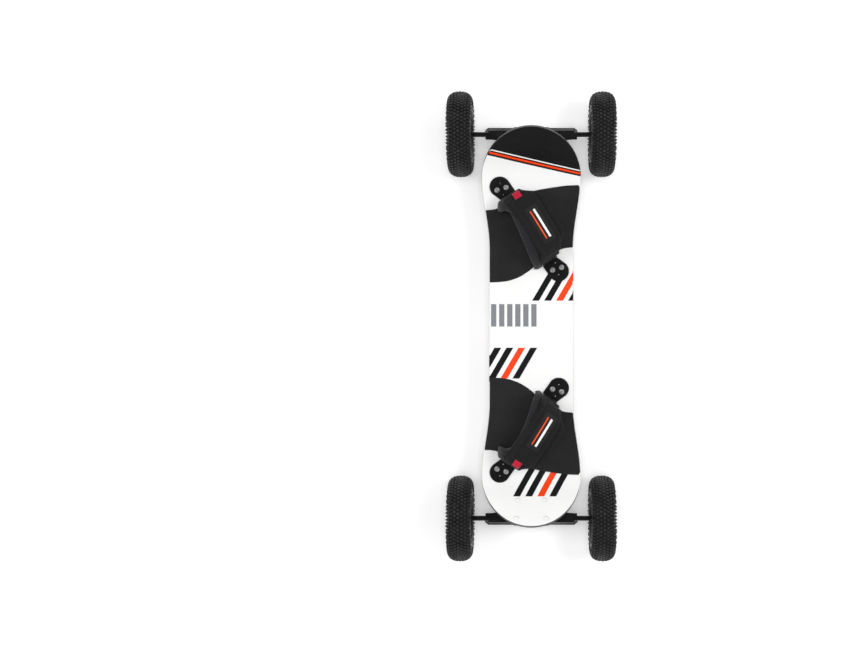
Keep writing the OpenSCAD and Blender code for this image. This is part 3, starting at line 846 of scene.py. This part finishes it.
def stitches(name, end, lines, radius=0.42, length=3.2, gap=1.4):
    """Rows of thread dashes. Each line is a list of (angle, across, grow) on the arch"""
    points, faces = [], []
    sides = 6
    for line in lines:
        path = []
        for angle, across, grow in line:
            along, up = arch(angle, grow)
            path.append(Vector(binding(end, along, across, up)))
        runs = runs_along(path)

        def at(run):
            for i in range(len(path) - 1):
                if run <= runs[i + 1] or i == len(path) - 2:
                    share = (run - runs[i]) / max(1e-6, runs[i + 1] - runs[i])
                    return path[i].lerp(path[i + 1], min(1, share))

        count = int(runs[-1] // (length + gap))
        for k in range(count):
            a, b = at(k * (length + gap)), at(k * (length + gap) + length)
            along = (b - a).normalized()
            side = along.cross(Vector((0, 0, 1))).normalized()
            up = side.cross(along)
            first = len(points)
            for share, thick in ((0, 0.45), (0.2, 0.95), (0.5, 1.1), (0.8, 0.95), (1, 0.45)):
                middle = a.lerp(b, share)
                for j in range(sides):
                    turn = 2 * math.pi * j / sides
                    points.append(middle + (side * math.cos(turn) + up * math.sin(turn)) * radius * thick)
            faces += [face[::-1] for face in closed_tube(4, sides, first)]
    return make_piece(name, points, faces, [THREAD])


def cover_edges(along):
    """Heel and toe edges of the strap cover at a place along it"""
    x = abs(along)
    toe = 62 - 34 * smooth_step(x, 46, 88) - 6 * smooth_step(x, 84, 100)
    return -11 - 10 * smooth_step(x, 56, 100), toe


def flap_edges(along):
    x = abs(along)
    return -8, 50 - 17 * smooth_step(x, 46, 92)


def liner_toe(along):
    """Toe edge of the padding"""
    return 57 - 35 * smooth_step(abs(along), 44, 92)


def roll_edge(along, end):
    """Heel edge of the padding: nearer the toes over the instep, and flared at the outer foot"""
    if end == FRONT:
        edge = -30 - 0.14 * along
    else:
        edge = -19.5 - 14.5 * (max(0, along + 15) / 83) ** 1.3
    return edge - 24 * smooth_step(-along, 48, 84)


def tab_edges(_):
    return 5, 23


def tab_swell(share, _):
    """How far the pull tab's loop stands up, at a share of its length"""
    return 0.9 * math.sin(math.pi * max(0, share - 0.3) / 0.7)


COVER_LOW, COVER_HIGH = 14.8, 17.4
FLAP_LOW, FLAP_HIGH = 18.2, 20.4
TONGUE_LOW, TONGUE_HIGH = 10.4, 14.4


def edge_line(first, last, edges, which, inset, grow):
    """A line that follows one edge of a band, inset from it"""
    line = []
    for i in range(61):
        angle = first + (last - first) * i / 60
        t = edges(arch(angle, grow)[0])[which] + (inset if which == 0 else -inset)
        line.append((angle, t, grow))
    return line


def simulate(piece, voxel, pressure, cap):
    """Remeshes a padded piece and lets air pressure swell it, no point further than cap"""
    bpy.context.view_layer.objects.active = piece
    for other in bpy.context.selected_objects:
        other.select_set(False)
    piece.select_set(True)
    remesh = piece.modifiers.new("remesh", "REMESH")
    assign(remesh, mode="VOXEL", voxel_size=voxel * MM, use_smooth_shade=True)
    bpy.ops.object.modifier_apply(modifier="remesh")
    start = [v.co.copy() for v in piece.data.vertices]
    cloth = piece.modifiers.new("cloth", "CLOTH")
    assign(cloth.settings, quality=6, mass=0.3, tension_stiffness=12, compression_stiffness=12,
           bending_stiffness=0.4, use_pressure=True, uniform_pressure_force=pressure)
    cloth.settings.effector_weights.gravity = 0
    scene = bpy.context.scene
    for step in range(1, 21):
        scene.frame_set(step)
    graph = bpy.context.evaluated_depsgraph_get()
    swollen = piece.evaluated_get(graph).to_mesh()
    moved = [v.co.copy() for v in swollen.vertices]
    piece.evaluated_get(graph).to_mesh_clear()
    piece.modifiers.remove(cloth)
    scene.frame_set(1)
    for vertex, rest, now in zip(piece.data.vertices, start, moved):
        shift = now - rest
        if shift.length > cap * MM:
            shift = shift.normalized() * cap * MM
        vertex.co = rest + shift


def subdivided(piece):
    """Applies one level of subdivision"""
    bpy.context.view_layer.objects.active = piece
    piece.modifiers.new("subdivide", "SUBSURF").levels = 1
    bpy.ops.object.modifier_apply(modifier="subdivide")
    shade_smooth(piece.data)


ROLL_HIGH, SEAM, CURL = 7.0, -11.5, 0.3


def liner_section(along, end, thick_to):
    """Cross-section of the padding: a roll along the heel edge, a pinched seam, then a flat pad"""
    toe, edge = liner_toe(along), roll_edge(along, end)
    half = (SEAM - 1 - edge) / 2
    high = min(ROLL_HIGH, half + 2)
    ring = []
    for turn in range(35, 326, 29):
        a = math.radians(turn)
        ring.append((edge + half + half * math.cos(a), 5.5 + high * math.sin(a)))
    ring.append((SEAM, 3.2))
    ring += [(t, 1.2) for t in (-6, 2, toe * 0.4, toe * 0.8)]
    ring += [(toe - 1.5, 2), (toe, (1 + thick_to) / 2), (toe - 1.5, thick_to - 0.8)]
    ring += [(t, thick_to) for t in (toe * 0.8, toe * 0.4, 2, -6)]
    ring.append((SEAM, 7.4))
    return ring


def build_liner(end_name, end):
    points = []
    angles, _ = even_angles(-1.2, 181.2, 6, 64)
    for angle in angles:
        along = arch(angle, 8)[0]
        over = smooth_step(min(angle, 180 - angle), 30, 42)
        for t, grow in liner_section(along, end, 8.2 + 4.2 * over):
            x, up = arch(angle, grow)
            curl = CURL * smooth_step(-t, 26, 54) if x < 0 else 0
            points.append(binding(end, x * (1 - curl), t, up))
    faces = closed_tube(len(angles) - 1, len(points) // len(angles))
    if end == FRONT:
        faces = [f[::-1] for f in faces]
    liner = make_piece(end_name + "_padded_liner", points, faces, [PADDING])
    simulate(liner, 4.2, 4, 2.2)
    hold_under_cover(liner, end)
    subdivided(liner)
    settle(liner, "board", "strap_padding", end_name + "_strap_liner")


def hold_under_cover(liner, end):
    """Presses the padding back under the cover and the anchor tongues, and off the footpad"""
    c, s = math.cos(STRAP_ANGLE), math.sin(STRAP_ANGLE)
    for vertex in liner.data.vertices:
        x, z = vertex.co.x / MM - STRAP_X, vertex.co.z / MM - DECK_TOP
        y = (vertex.co.y / MM + STRAP_SHIFT) * end - STRAP_Y
        along, across = x * c - y * s, x * s + y * c
        z = max(z, PAD_T + 0.3)
        up = max(0.01, z - ARCH_BASE)
        grow = 6.0
        for _ in range(12):
            wide, tall = ARCH_HALF + grow, ARCH_HEIGHT + grow
            value = (abs(along) / wide) ** ARCH_ROUND + (up / tall) ** ARCH_ROUND
            grow += (value ** (1 / ARCH_ROUND) - 1) * wide
        angle = math.degrees(math.atan2(up, abs(along)))
        limit = TONGUE_LOW - 0.4 + (COVER_LOW - TONGUE_LOW) * smooth_step(angle, 36, 44)
        if across > cover_edges(along)[0] - 1.5 and grow > limit:
            shrink = (ARCH_HALF + limit) / (ARCH_HALF + grow)
            along, up = along * shrink, up * shrink
            z = ARCH_BASE + up if z > ARCH_BASE else z
        vertex.co = Vector(binding(end, along, across, z)) * MM


MARK_AT = {FRONT: (11, 23), REAR: (20, 22)}
LABEL_HALF, LABEL_WIDE = 46, 30


def arch_angle(along, grow):
    """Angle on the arch over a place along the strap"""
    share = min(1, abs(along) / (ARCH_HALF + grow)) ** (ARCH_ROUND / 2)
    angle = math.degrees(math.acos(share))
    return angle if along > 0 else 180 - angle


def patch(name, end, outline, grow, thick, material):
    """A thin flat shape laid on the flap. The outline is in run along the strap and across it"""
    mark_along, mark_across = MARK_AT[end]
    middle = arch_angle(mark_along, grow)
    angles, runs = even_angles(middle - 45, middle + 45, grow, 400)
    zero = min(range(401), key=lambda i: abs(angles[i] - middle))

    def place(run, across, level):
        index = min(400, max(0, round(zero - run / runs[-1] * 400)))
        along, up = arch(angles[index], level)
        return binding(end, along, mark_across + across, up)

    border = chopped(outline, 3)
    left, right = min(p[0] for p in border), max(p[0] for p in border)
    steps = range(1, math.ceil((right - left) / 2))
    cuts = [((left + 2 * i, -200), (left + 2 * i, 200)) for i in steps]
    flat, kept, _ = cut_flat([border], cuts)
    points, faces, weave, index = [], [], [], {}
    seen = set()
    for f in kept:
        for i in f:
            if i not in index:
                index[i] = len(points)
                points.append(place(flat[i].x, flat[i].y, grow + thick))
                weave.append((flat[i].x, flat[i].y, 0))
        faces.append([index[i] for i in f])
        seen.update(zip(f, f[1:] + f[:1]))
    for a, b in sorted(seen):
        if (b, a) not in seen:
            pair = []
            for i in (a, b):
                pair.append(len(points))
                points.append(place(flat[i].x, flat[i].y, grow - 0.3))
                weave.append((flat[i].x, flat[i].y, 0))
            faces.append([index[a], pair[0], pair[1], index[b]])
    if end == FRONT:
        faces = [f[::-1] for f in faces]
    piece = make_piece(name, points, faces, [material], sharp=50)
    mark_weave(piece, weave)
    return piece


def rounded_box(half_x, half_y, radius):
    """Closed outline of a rectangle with round corners"""
    steps = 4
    corners = ((1, 1, 0), (-1, 1, 90), (-1, -1, 180), (1, -1, 270))
    return [(sx * (half_x - radius) + radius * math.cos(math.radians(a0 + 90 * i / steps)),
             sy * (half_y - radius) + radius * math.sin(math.radians(a0 + 90 * i / steps)))
            for sx, sy, a0 in corners for i in range(steps + 1)]


def build_strap(end_name, end):
    build_liner(end_name, end)

    cover = sewn_band(end_name + "_sewn_cover", end, 24, 156, cover_edges, COVER_LOW, COVER_HIGH,
                      COVER_CLOTH, count=76, across=26)
    settle(cover, "board", "strap_webbing", end_name + "_strap_cover")
    rows = [edge_line(25.5, 154.5, cover_edges, which, inset, COVER_HIGH + 0.5)
            for which in (0, 1) for inset in (2.6, 6.4)]
    for side in (-1, 1):
        def vee(angle, across):
            return (angle if side > 0 else 180 - angle, across, COVER_HIGH + 0.25)
        rows.append([vee(34.5 - 6 * abs(t) / 14, t) for t in range(-14, 15, 2)])
        rows.append([vee(31.5 - 5 * abs(t) / 14, t) for t in range(-14, 15, 2)])
        rows.append([vee(25, t) for t in range(-16, 17, 2)])
    settle(stitches(end_name + "_cover_stitches", end, rows), "board", "strap_webbing")

    body = end_name + "_flap"
    flap = sewn_band(end_name + "_sewn_flap", end, 35.5, 130, flap_edges, FLAP_LOW, FLAP_HIGH, FLAP_CLOTH,
                     count=56, across=20)
    settle(flap, body, "strap_webbing", end_name + "_strap_flap")
    top = FLAP_HIGH + 0.5
    rows = [edge_line(37, 128.5, flap_edges, which, 3, top) for which in (0, 1)]
    for angle in (38, 127.5):
        first, last = flap_edges(arch(angle, top)[0])
        rows.append([(angle, first + 4 + (last - first - 8) * i / 12, top) for i in range(13)])
    settle(stitches(end_name + "_flap_stitches", end, rows), body, "strap_webbing")

    tab = sewn_band(end_name + "_ribbon_tab", end, 127, 146, tab_edges, FLAP_LOW + 0.5, FLAP_HIGH + 0.1,
                    RIBBON, hem=0, count=24, across=10, swell=tab_swell)
    settle(tab, body, "tab_red", end_name + "_pull_tab")

    box = rounded_box(LABEL_HALF, LABEL_WIDE / 2, 4)
    label = patch(end_name + "_label", end, box, FLAP_HIGH, 0.7, LABEL)
    settle(label, body, "strap_webbing")
    for line, middle, half, material in (("upper", 4.5, 2.5, LABEL_WHITE), ("lower", -5, 1.5, LABEL_ORANGE)):
        outline = [(-36, middle - half), (36, middle - half), (36, middle + half), (-36, middle + half)]
        stripe = patch(f"{end_name}_label_{line}_line", end, outline, FLAP_HIGH + 0.7, 0.35, material)
        settle(stripe, body, "strap_webbing")


# ---- anchors and their bolts ----

ANCHOR_R, ANCHOR_GAP, ANCHOR_TURN, NECK = 24, 240, 6, 19.5
SPARE_R, SPARE_OUT = 1.6, 14.2


def anchor_outline():
    """Round end and narrowing neck of the anchor on the side of +x, in binding coordinates"""
    middle, root = ANCHOR_GAP / 2, ARCH_HALF + TONGUE_LOW - 1
    lean = math.degrees(math.atan2(ANCHOR_TURN, middle - root))
    arc = [(middle + ANCHOR_R * math.cos(math.radians(a)), ANCHOR_TURN + ANCHOR_R * math.sin(math.radians(a)))
           for a in (lean - 93 + 186 * i / 30 for i in range(31))]
    return [(root, 2 - NECK), (root + 2, -NECK)] + arc + [(root + 2, NECK), (root, NECK - 2)]


def build_anchors(end_name, end):
    for side_name, side, (x, y) in zip(("heel", "toe"), (-1, 1), ANCHOR_PAIRS):
        outline = [binding(end, side * a, side * b, 0)[:2] for a, b in anchor_outline()]
        if end == REAR:
            outline.reverse()
        line = end * (math.pi / 2 + PAIR_SLANT)
        dx, dy = SPARE_OUT * math.cos(line), SPARE_OUT * math.sin(line)
        spare = [circle(x + k * dx, end * y - STRAP_SHIFT + k * dy, SPARE_R, 14) for k in (-1, 1)]
        levels = [(-0.5, 0.15), (0, 0.7), (0, 3.1), (-0.6, 4.0), (-1.5, 4.5)]
        points, faces = plate_on_deck(outline, spare, levels)
        plate = make_piece(f"{end_name}_{side_name}_anchor_plate", points, faces, [NYLON], sharp=40)
        stands_for = [end_name + "_anchors"] if side == 1 else []
        settle(plate, "board", "anchor_nylon", *stands_for)
    for side_name, first, last in (("toe", 1.5, 32), ("heel", 148, 178.5)):
        tongue = sewn_band(f"{end_name}_{side_name}_tongue", end, first, last, lambda _: (-NECK, NECK),
                           TONGUE_LOW, TONGUE_HIGH, NYLON, hem=0, count=20, across=8)
        settle(tongue, "board", "anchor_nylon")


def turned(profile, count, points, matrix):
    """Adds the rings of a lathe-turned shape from (radius, height) pairs. Returns its first point's number"""
    first = len(points)
    for radius, height in profile:
        for i in range(count):
            a = 2 * math.pi * i / count
            points.append(matrix @ Vector((radius * math.cos(a), radius * math.sin(a), height)))
    return first


def hex_point(across, angle):
    """Radius of a hexagon at an angle in degrees"""
    return across / 2 / math.cos(math.radians((angle + 30) % 60 - 30))


def socket_bolt(crown, across, shank, length, points, faces, matrix):
    """A bolt with a hexagon socket. Its head's crown is (radius, height) pairs, up from z = 0 and inwards"""
    count, top = 36, crown[-1][1]
    profile = [(shank, -length), (shank, 0)] + crown
    base = turned(profile, count, points, matrix)
    faces += wrapped(len(profile) - 1, count, base)
    first = len(points)
    for depth, shrink in ((top - 0.25, 1), (0.35 * top, 1), (0.2 * top, 0.1)):
        for i in range(count):
            angle = math.radians(360 * i / count)
            r = hex_point(across, 360 * i / count) * shrink
            points.append(matrix @ Vector((r * math.cos(angle), r * math.sin(angle), depth)))
    faces += wrapped(3, count, first - count)
    faces.append([first + 2 * count + i for i in range(count)])
    faces.append([base + i for i in range(count)][::-1])


def build_binding_bolts():
    points, faces = [], []
    dome = [(6.1, 0), (6.4, 0.25)] + [(6.4 * math.cos(a) ** 0.8, 3.6 * math.sin(a) ** 0.9)
                                      for a in (math.radians(d) for d in (14, 28, 42, 55))] + [(3.2, 3.5)]
    for i, (x, y) in enumerate(binding_holes):
        spot = Matrix.Translation((x, y, DECK_TOP + ARCH_BASE)) @ Matrix.Rotation(i * 1.3, 4, "Z")
        socket_bolt(dome, 5, 3, 14, points, faces, spot)
    bolts = make_piece("button_head_bolts", points, faces, [BRIGHT_ZINC], sharp=35)
    settle(bolts, "board", "zinc_steel", "binding_bolts")


for end_name, end in ENDS.items():
    build_strap(end_name, end)
    build_anchors(end_name, end)
build_binding_bolts()


# ---- trucks ----

ELASTOMER_R, ELASTOMER_LOW, ELASTOMER_HIGH = 12.5, 16, 50


def truck_frame(end):
    """Truck coordinates to world: x across, y down the incline of the tip, z away from the deck"""
    c, s = math.cos(TIP_ANGLE), math.sin(TIP_ANGLE)
    matrix = Matrix(((1, 0, 0, 0), (0, -c, s, FOOT.y), (0, -s, -c, FOOT.z), (0, 0, 0, 1)))
    return matrix if end == FRONT else Matrix.Rotation(math.pi, 4, "Z") @ matrix


def refine(name, material, width):
    """Keeps a CAD node, with eased edges and a material"""
    node = nodes[name]
    node.data.materials.clear()
    node.data.materials.append(material)
    new = node.modifiers.new
    assign(new("weld", "WELD"), merge_threshold=0.01 * MM)
    assign(new("flat", "DECIMATE"), decimate_type="DISSOLVE", angle_limit=math.radians(0.8))
    assign(new("eased", "BEVEL"), width=width * MM, segments=2, limit_method="ANGLE",
           angle_limit=math.radians(32), use_clamp_overlap=True)
    assign(new("normals", "WEIGHTED_NORMAL"), keep_sharp=True)
    shade_smooth(node.data)


def build_mount_bolts():
    """Flat-headed deck bolts, painted like the print they sit in"""
    crown = [(5.7, 0), (6, 0.3), (6, 2.6), (5.6, 3), (2.6, 3)]
    black = [outline for slot, outline in upper_print() if slot == P_BLACK]
    for end_name, end in ENDS.items():
        points, faces, slots = [], [], []
        for x, y in ((side * x, y) for x, y in MOUNT_BOLTS for side in (1, -1)):
            place = truck_frame(end) @ Matrix.Translation((x, y, 3.3 - DECK_T))
            spot = place @ Matrix.Rotation(math.pi, 4, "X")
            socket_bolt(crown, 4, 3, 20.5, points, faces, spot)
            for face in faces[len(slots):]:
                middle = centre([points[i] for i in face])
                slots.append(int(any(inside(middle, outline) for outline in black)))
        bolts = make_piece(end_name + "_deck_bolts", points, faces, [WHITE, BLACK], slots, sharp=35)
        stands_for = ["truck_mount_bolts"] if end == FRONT else []
        settle(bolts, "board", "zinc_steel", *stands_for)


def build_elastomers(end_name, end):
    low, high, r = ELASTOMER_LOW, ELASTOMER_HIGH, ELASTOMER_R
    points, faces = [], []
    grooves = [(r - 1.3 * math.exp(-((z - 27) / 1.6) ** 2) - 1.3 * math.exp(-((z - 39) / 1.6) ** 2), z)
               for z in (low + 1.2 + (high - low - 2.4) * i / 40 for i in range(41))]
    profile = [(r - 1.2, low + 0.05), (r - 0.35, low + 0.4)] + grooves
    profile += [(r - 0.35, high - 0.4), (r - 1.2, high - 0.05)]
    for side in (-1, 1):
        spot = truck_frame(end) @ Matrix.Translation((side * PIN_X, PIN_Y, 0))
        faces += closed_tube(len(profile) - 1, 48, turned(profile, 48, points, spot))
    piece = make_piece(end_name + "_elastomer_springs", points, faces, [AMBER], sharp=40)
    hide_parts(end_name + "_elastomers")
    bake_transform(piece)


# CAD nodes that stay: name, material and width of the eased edges
BOARD_NODES = (("truck_mount_nuts", STEEL, 0.4), ("kingpin_washers", STEEL, 0.3),
               ("kingpin_nuts", STEEL, 0.5), ("binding_tnuts", STEEL, 0.2))
TRUCK_NODES = (("truck_base", COAT, 1.0), ("hanger", COAT, 1.0), ("kingpin", STEEL, 0.4),
               ("pivot_bushes", BUSH, 0.3), ("elastomer_bolts", STEEL, 0.5), ("axles", BLACK_STEEL, 0.6),
               ("axle_spacers", BLACK_STEEL, 0.4), ("inner_races", DARK_STEEL, 0.2),
               ("axle_nuts", STEEL, 0.5))
WHEEL_NODES = (("tube", TUBE_RUBBER, 0.3), ("hub", HUB_NYLON, 0.8), ("hub_bolts", STEEL, 0.4),
               ("bearings", DARK_STEEL, 0.3))


def build_trucks():
    build_mount_bolts()
    for node_name, material, width in BOARD_NODES:
        refine(node_name, material, width)
    for end_name, end in ENDS.items():
        build_elastomers(end_name, end)
        for node_name, material, width in TRUCK_NODES:
            refine(f"{end_name}_{node_name}", material, width)


build_trucks()


# ---- wheels ----

WHEEL_X = 167
TYRE_R, TYRE_HALF, TUBE_MID = 100, 30, 74.75
TREAD = 4.0
PITCHES = 68


def section(angle, wall=0.0):
    """(x, radius) on the tyre's section, an angle round from its side"""
    a = math.radians(angle)
    x = math.copysign((TYRE_HALF - wall) * abs(math.cos(a)) ** 0.85, math.cos(a))
    r = math.copysign((TYRE_R - TUBE_MID - wall) * abs(math.sin(a)) ** 0.85, math.sin(a))
    return x, TUBE_MID + r


TREAD_ANGLES = [90 - 0.5 * i for i in range(181)]
TREAD_RUNS = runs_along([section(angle) for angle in TREAD_ANGLES])


def sunk_section(angle, depth):
    """(x, radius) at a depth under the tyre's section"""
    x, r = section(angle)
    (x0, r0), (x1, r1) = section(angle - 0.5), section(angle + 0.5)
    along = Vector((x1 - x0, r1 - r0)).normalized()
    return x - along.y * depth, r + along.x * depth


def tread_angle(run):
    """Angle on the section at a distance from the crown"""
    k = next(i for i, so_far in enumerate(TREAD_RUNS) if so_far >= abs(run))
    a, b = TREAD_RUNS[max(0, k - 1)], TREAD_RUNS[k]
    share = (abs(run) - a) / (b - a) if b > a else 0
    angle = TREAD_ANGLES[max(0, k - 1)] - 0.5 * share
    return angle if run >= 0 else 180 - angle


def on_tyre(run, around, depth):
    """Point at a distance from the crown and around the tread, sunk by depth"""
    x, r = sunk_section(tread_angle(run), depth)
    turn = around / TYRE_R
    return Vector((x, r * math.cos(turn), r * math.sin(turn)))


def carcass_profile():
    """Closed section of the tyre without its blocks: outside, bead, inside, bead"""
    outside = []
    for i in range(-46, 227, 4):
        from_side = min(i, 180 - i)
        sunk = TREAD * smooth_step(from_side, -26, -2)
        ribs = 0.7 * math.exp(-((from_side + 33) / 3) ** 2) + 0.5 * math.exp(-((from_side + 14) / 2.5) ** 2)
        outside.append(sunk_section(i, sunk - ribs))
    bead = [(20.4, 55.1), (19.7, 54.2), (19.6, 50.3), (18.9, 49.7), (16.1, 49.7), (15.3, 50.5), (15.2, 56)]
    inner = [section(i, 4.5 + 1.4 * smooth_step(min(i, 180 - i), -20, 0)) for i in range(222, -43, -8)]
    return outside + [(-x, r) for x, r in bead] + inner + bead[::-1]


def tread_blocks():
    """(outline, whether it stands high) of the blocks of one pitch, in run and around"""
    pitch = 2 * math.pi * TYRE_R / PITCHES
    crown = [(-3.0, -1.4), (0, -3.2), (3.0, -1.4), (3.0, 1.6), (0, 3.4), (-3.0, 1.6)]
    lozenge = [(-3.2, -1.4), (2.8, -3.1), (3.2, 1.4), (-2.8, 3.1)]
    shoulder = [(-3.6, -2.6), (3.4, -2.2), (3.4, 2.2), (-3.6, 2.6)]
    blocks = [(0, 0, crown)]
    for side in (-1, 1):
        for i, run in enumerate((8.3, 16.4, 24.4)):
            lean = side if i % 2 else -side
            shape = [(a * side, b * lean) for a, b in lozenge]
            blocks.append((run * side, pitch / 2 if i % 2 == 0 else 0, shape))
        blocks.append((33.4 * side, pitch / 2, [(a * side, b) for a, b in shoulder]))
    return blocks, pitch


def ordered(shape):
    """The same outline, turned counterclockwise"""
    area = sum(x0 * y1 - x1 * y0 for (x0, y0), (x1, y1) in zip(shape, shape[1:] + shape[:1]))
    return shape if area > 0 else shape[::-1]


def build_tyre_mesh():
    points, faces = [], []
    profile, around = carcass_profile(), 144
    size = len(profile)
    for i in range(around):
        a = 2 * math.pi * i / around
        points += [Vector((x, r * math.cos(a), r * math.sin(a))) for x, r in profile]
    for i in range(around):
        j = (i + 1) % around
        for k in range(size):
            m = (k + 1) % size
            faces.append([i * size + k, j * size + k, j * size + m, i * size + m])
    slots = [0] * len(faces)
    blocks, pitch = tread_blocks()
    layers = ((TREAD + 0.5, 1.1), (0.5, 1), (0.0, 0.84))
    for number in range(PITCHES):
        for run, offset, shape in blocks:
            shape = ordered(shape)
            if abs(run) > 30 and number % 2:
                shape = ordered([(a + math.copysign(5.5, run) * (a * run > 0), b) for a, b in shape])
            first, corners = len(points), len(shape)
            for depth, grow in layers:
                for a, b in shape:
                    points.append(on_tyre(run + a * grow, number * pitch + offset + b * grow, depth))
            faces += closed_tube(2, corners, first)
    slots += [1] * (len(faces) - len(slots))
    return points, faces, slots


def build_tyres():
    points, faces, slots = build_tyre_mesh()
    shared = None
    for end_name, end in ENDS.items():
        for side_name, side in SIDES.items():
            name = f"{end_name}_{side_name}"
            if shared is None:
                tyre = make_piece(name + "_knobbly_tyre", points, faces, [CARCASS, TREAD_RUBBER], slots)
                shared = tyre.data
                bm = bmesh.new()
                bm.from_mesh(shared)
                bmesh.ops.recalc_face_normals(bm, faces=bm.faces)
                bm.to_mesh(shared)
                bm.free()
                shared.set_sharp_from_angle(angle=math.radians(38))
            else:
                tyre = add_object(name + "_knobbly_tyre", shared)
            tyre.location = Vector((side * WHEEL_X, end * AXLE_Y, AXLE_Z)) * MM
            settle(tyre, name + "_wheel", "tyre_rubber", name + "_tyre")
            for node_name, material, width in WHEEL_NODES:
                refine(f"{name}_{node_name}", material, width)


build_tyres()


# ---- stage, camera and light ----

def softbox(name, place, width, length, energy):
    """An area light at a place, aimed at the board"""
    data = bpy.data.lights.new(name, "AREA")
    assign(data, shape="RECTANGLE", size=width, size_y=length, energy=energy)
    lamp = assign(add_object(name, data), location=place, rotation_mode="QUATERNION")
    lamp.rotation_quaternion = (-lamp.location).to_track_quat("-Z", "Y")
    return lamp


def build_stage():
    floor = Finish("pale_floor", (0.93, 0.93, 0.93), 0.75, Specular_IOR_Level=0.2, Emission_Strength=0.26)
    floor.shader.inputs["Emission Color"].default_value = (1, 1, 1, 1)
    grain = floor.noise(6, 4)
    floor.feed("Base Color", floor.tint(floor.span(grain, 0.3, 0.7), 0.985))
    floor.bump((floor.noise(300, 2), 0.02))
    half = 14000
    corners = [(-half, -half, -0.5), (half, -half, -0.5), (half, half, -0.5), (-half, half, -0.5)]
    make_piece("floor", corners, [[0, 1, 2, 3]], [floor.material])

    world = bpy.data.worlds.new("studio")
    world.use_nodes = True
    bpy.context.scene.world = world
    add, link = world.node_tree.nodes.new, world.node_tree.links.new
    place = add("ShaderNodeTexCoord")
    parts = add("ShaderNodeSeparateXYZ")
    fade = add("ShaderNodeMapRange")
    link(place.outputs["Generated"], parts.inputs[0])
    link(parts.outputs["Z"], fade.inputs[0])
    for socket, value in (("From Min", 0.1), ("From Max", 0.8), ("To Min", 0.45), ("To Max", 0.14)):
        fade.inputs[socket].default_value = value
    background = world.node_tree.nodes["Background"]
    background.inputs["Color"].default_value = (1, 1, 1, 1)
    link(fade.outputs[0], background.inputs["Strength"])

    softbox("overhead", (0, 0, 3.4), 0.8, 1.4, 35).visible_glossy = False
    for name, x, energy in (("key", 1.7, 38), ("fill", -1.9, 26)):
        softbox(name, (x, 0.3, 2.9), 0.9, 1.2, energy).visible_glossy = False
    for i in range(4):
        angle = math.radians(45 + 90 * i)
        softbox(f"corner_{i}", (2.5 * math.cos(angle), 2.5 * math.sin(angle), 2.3), 1.6, 1.6, 9)


def build_camera():
    """Looks straight down, with the board right of the middle of an 850 by 650 picture"""
    data = bpy.data.cameras.new("camera")
    assign(data, sensor_width=36, lens=44.83, shift_x=-0.125, shift_y=0.0016)
    bpy.context.scene.camera = assign(add_object("camera", data), location=(0, 0, 2.6))


build_stage()
build_camera()
bpy.context.scene.view_settings.view_transform = "Standard"
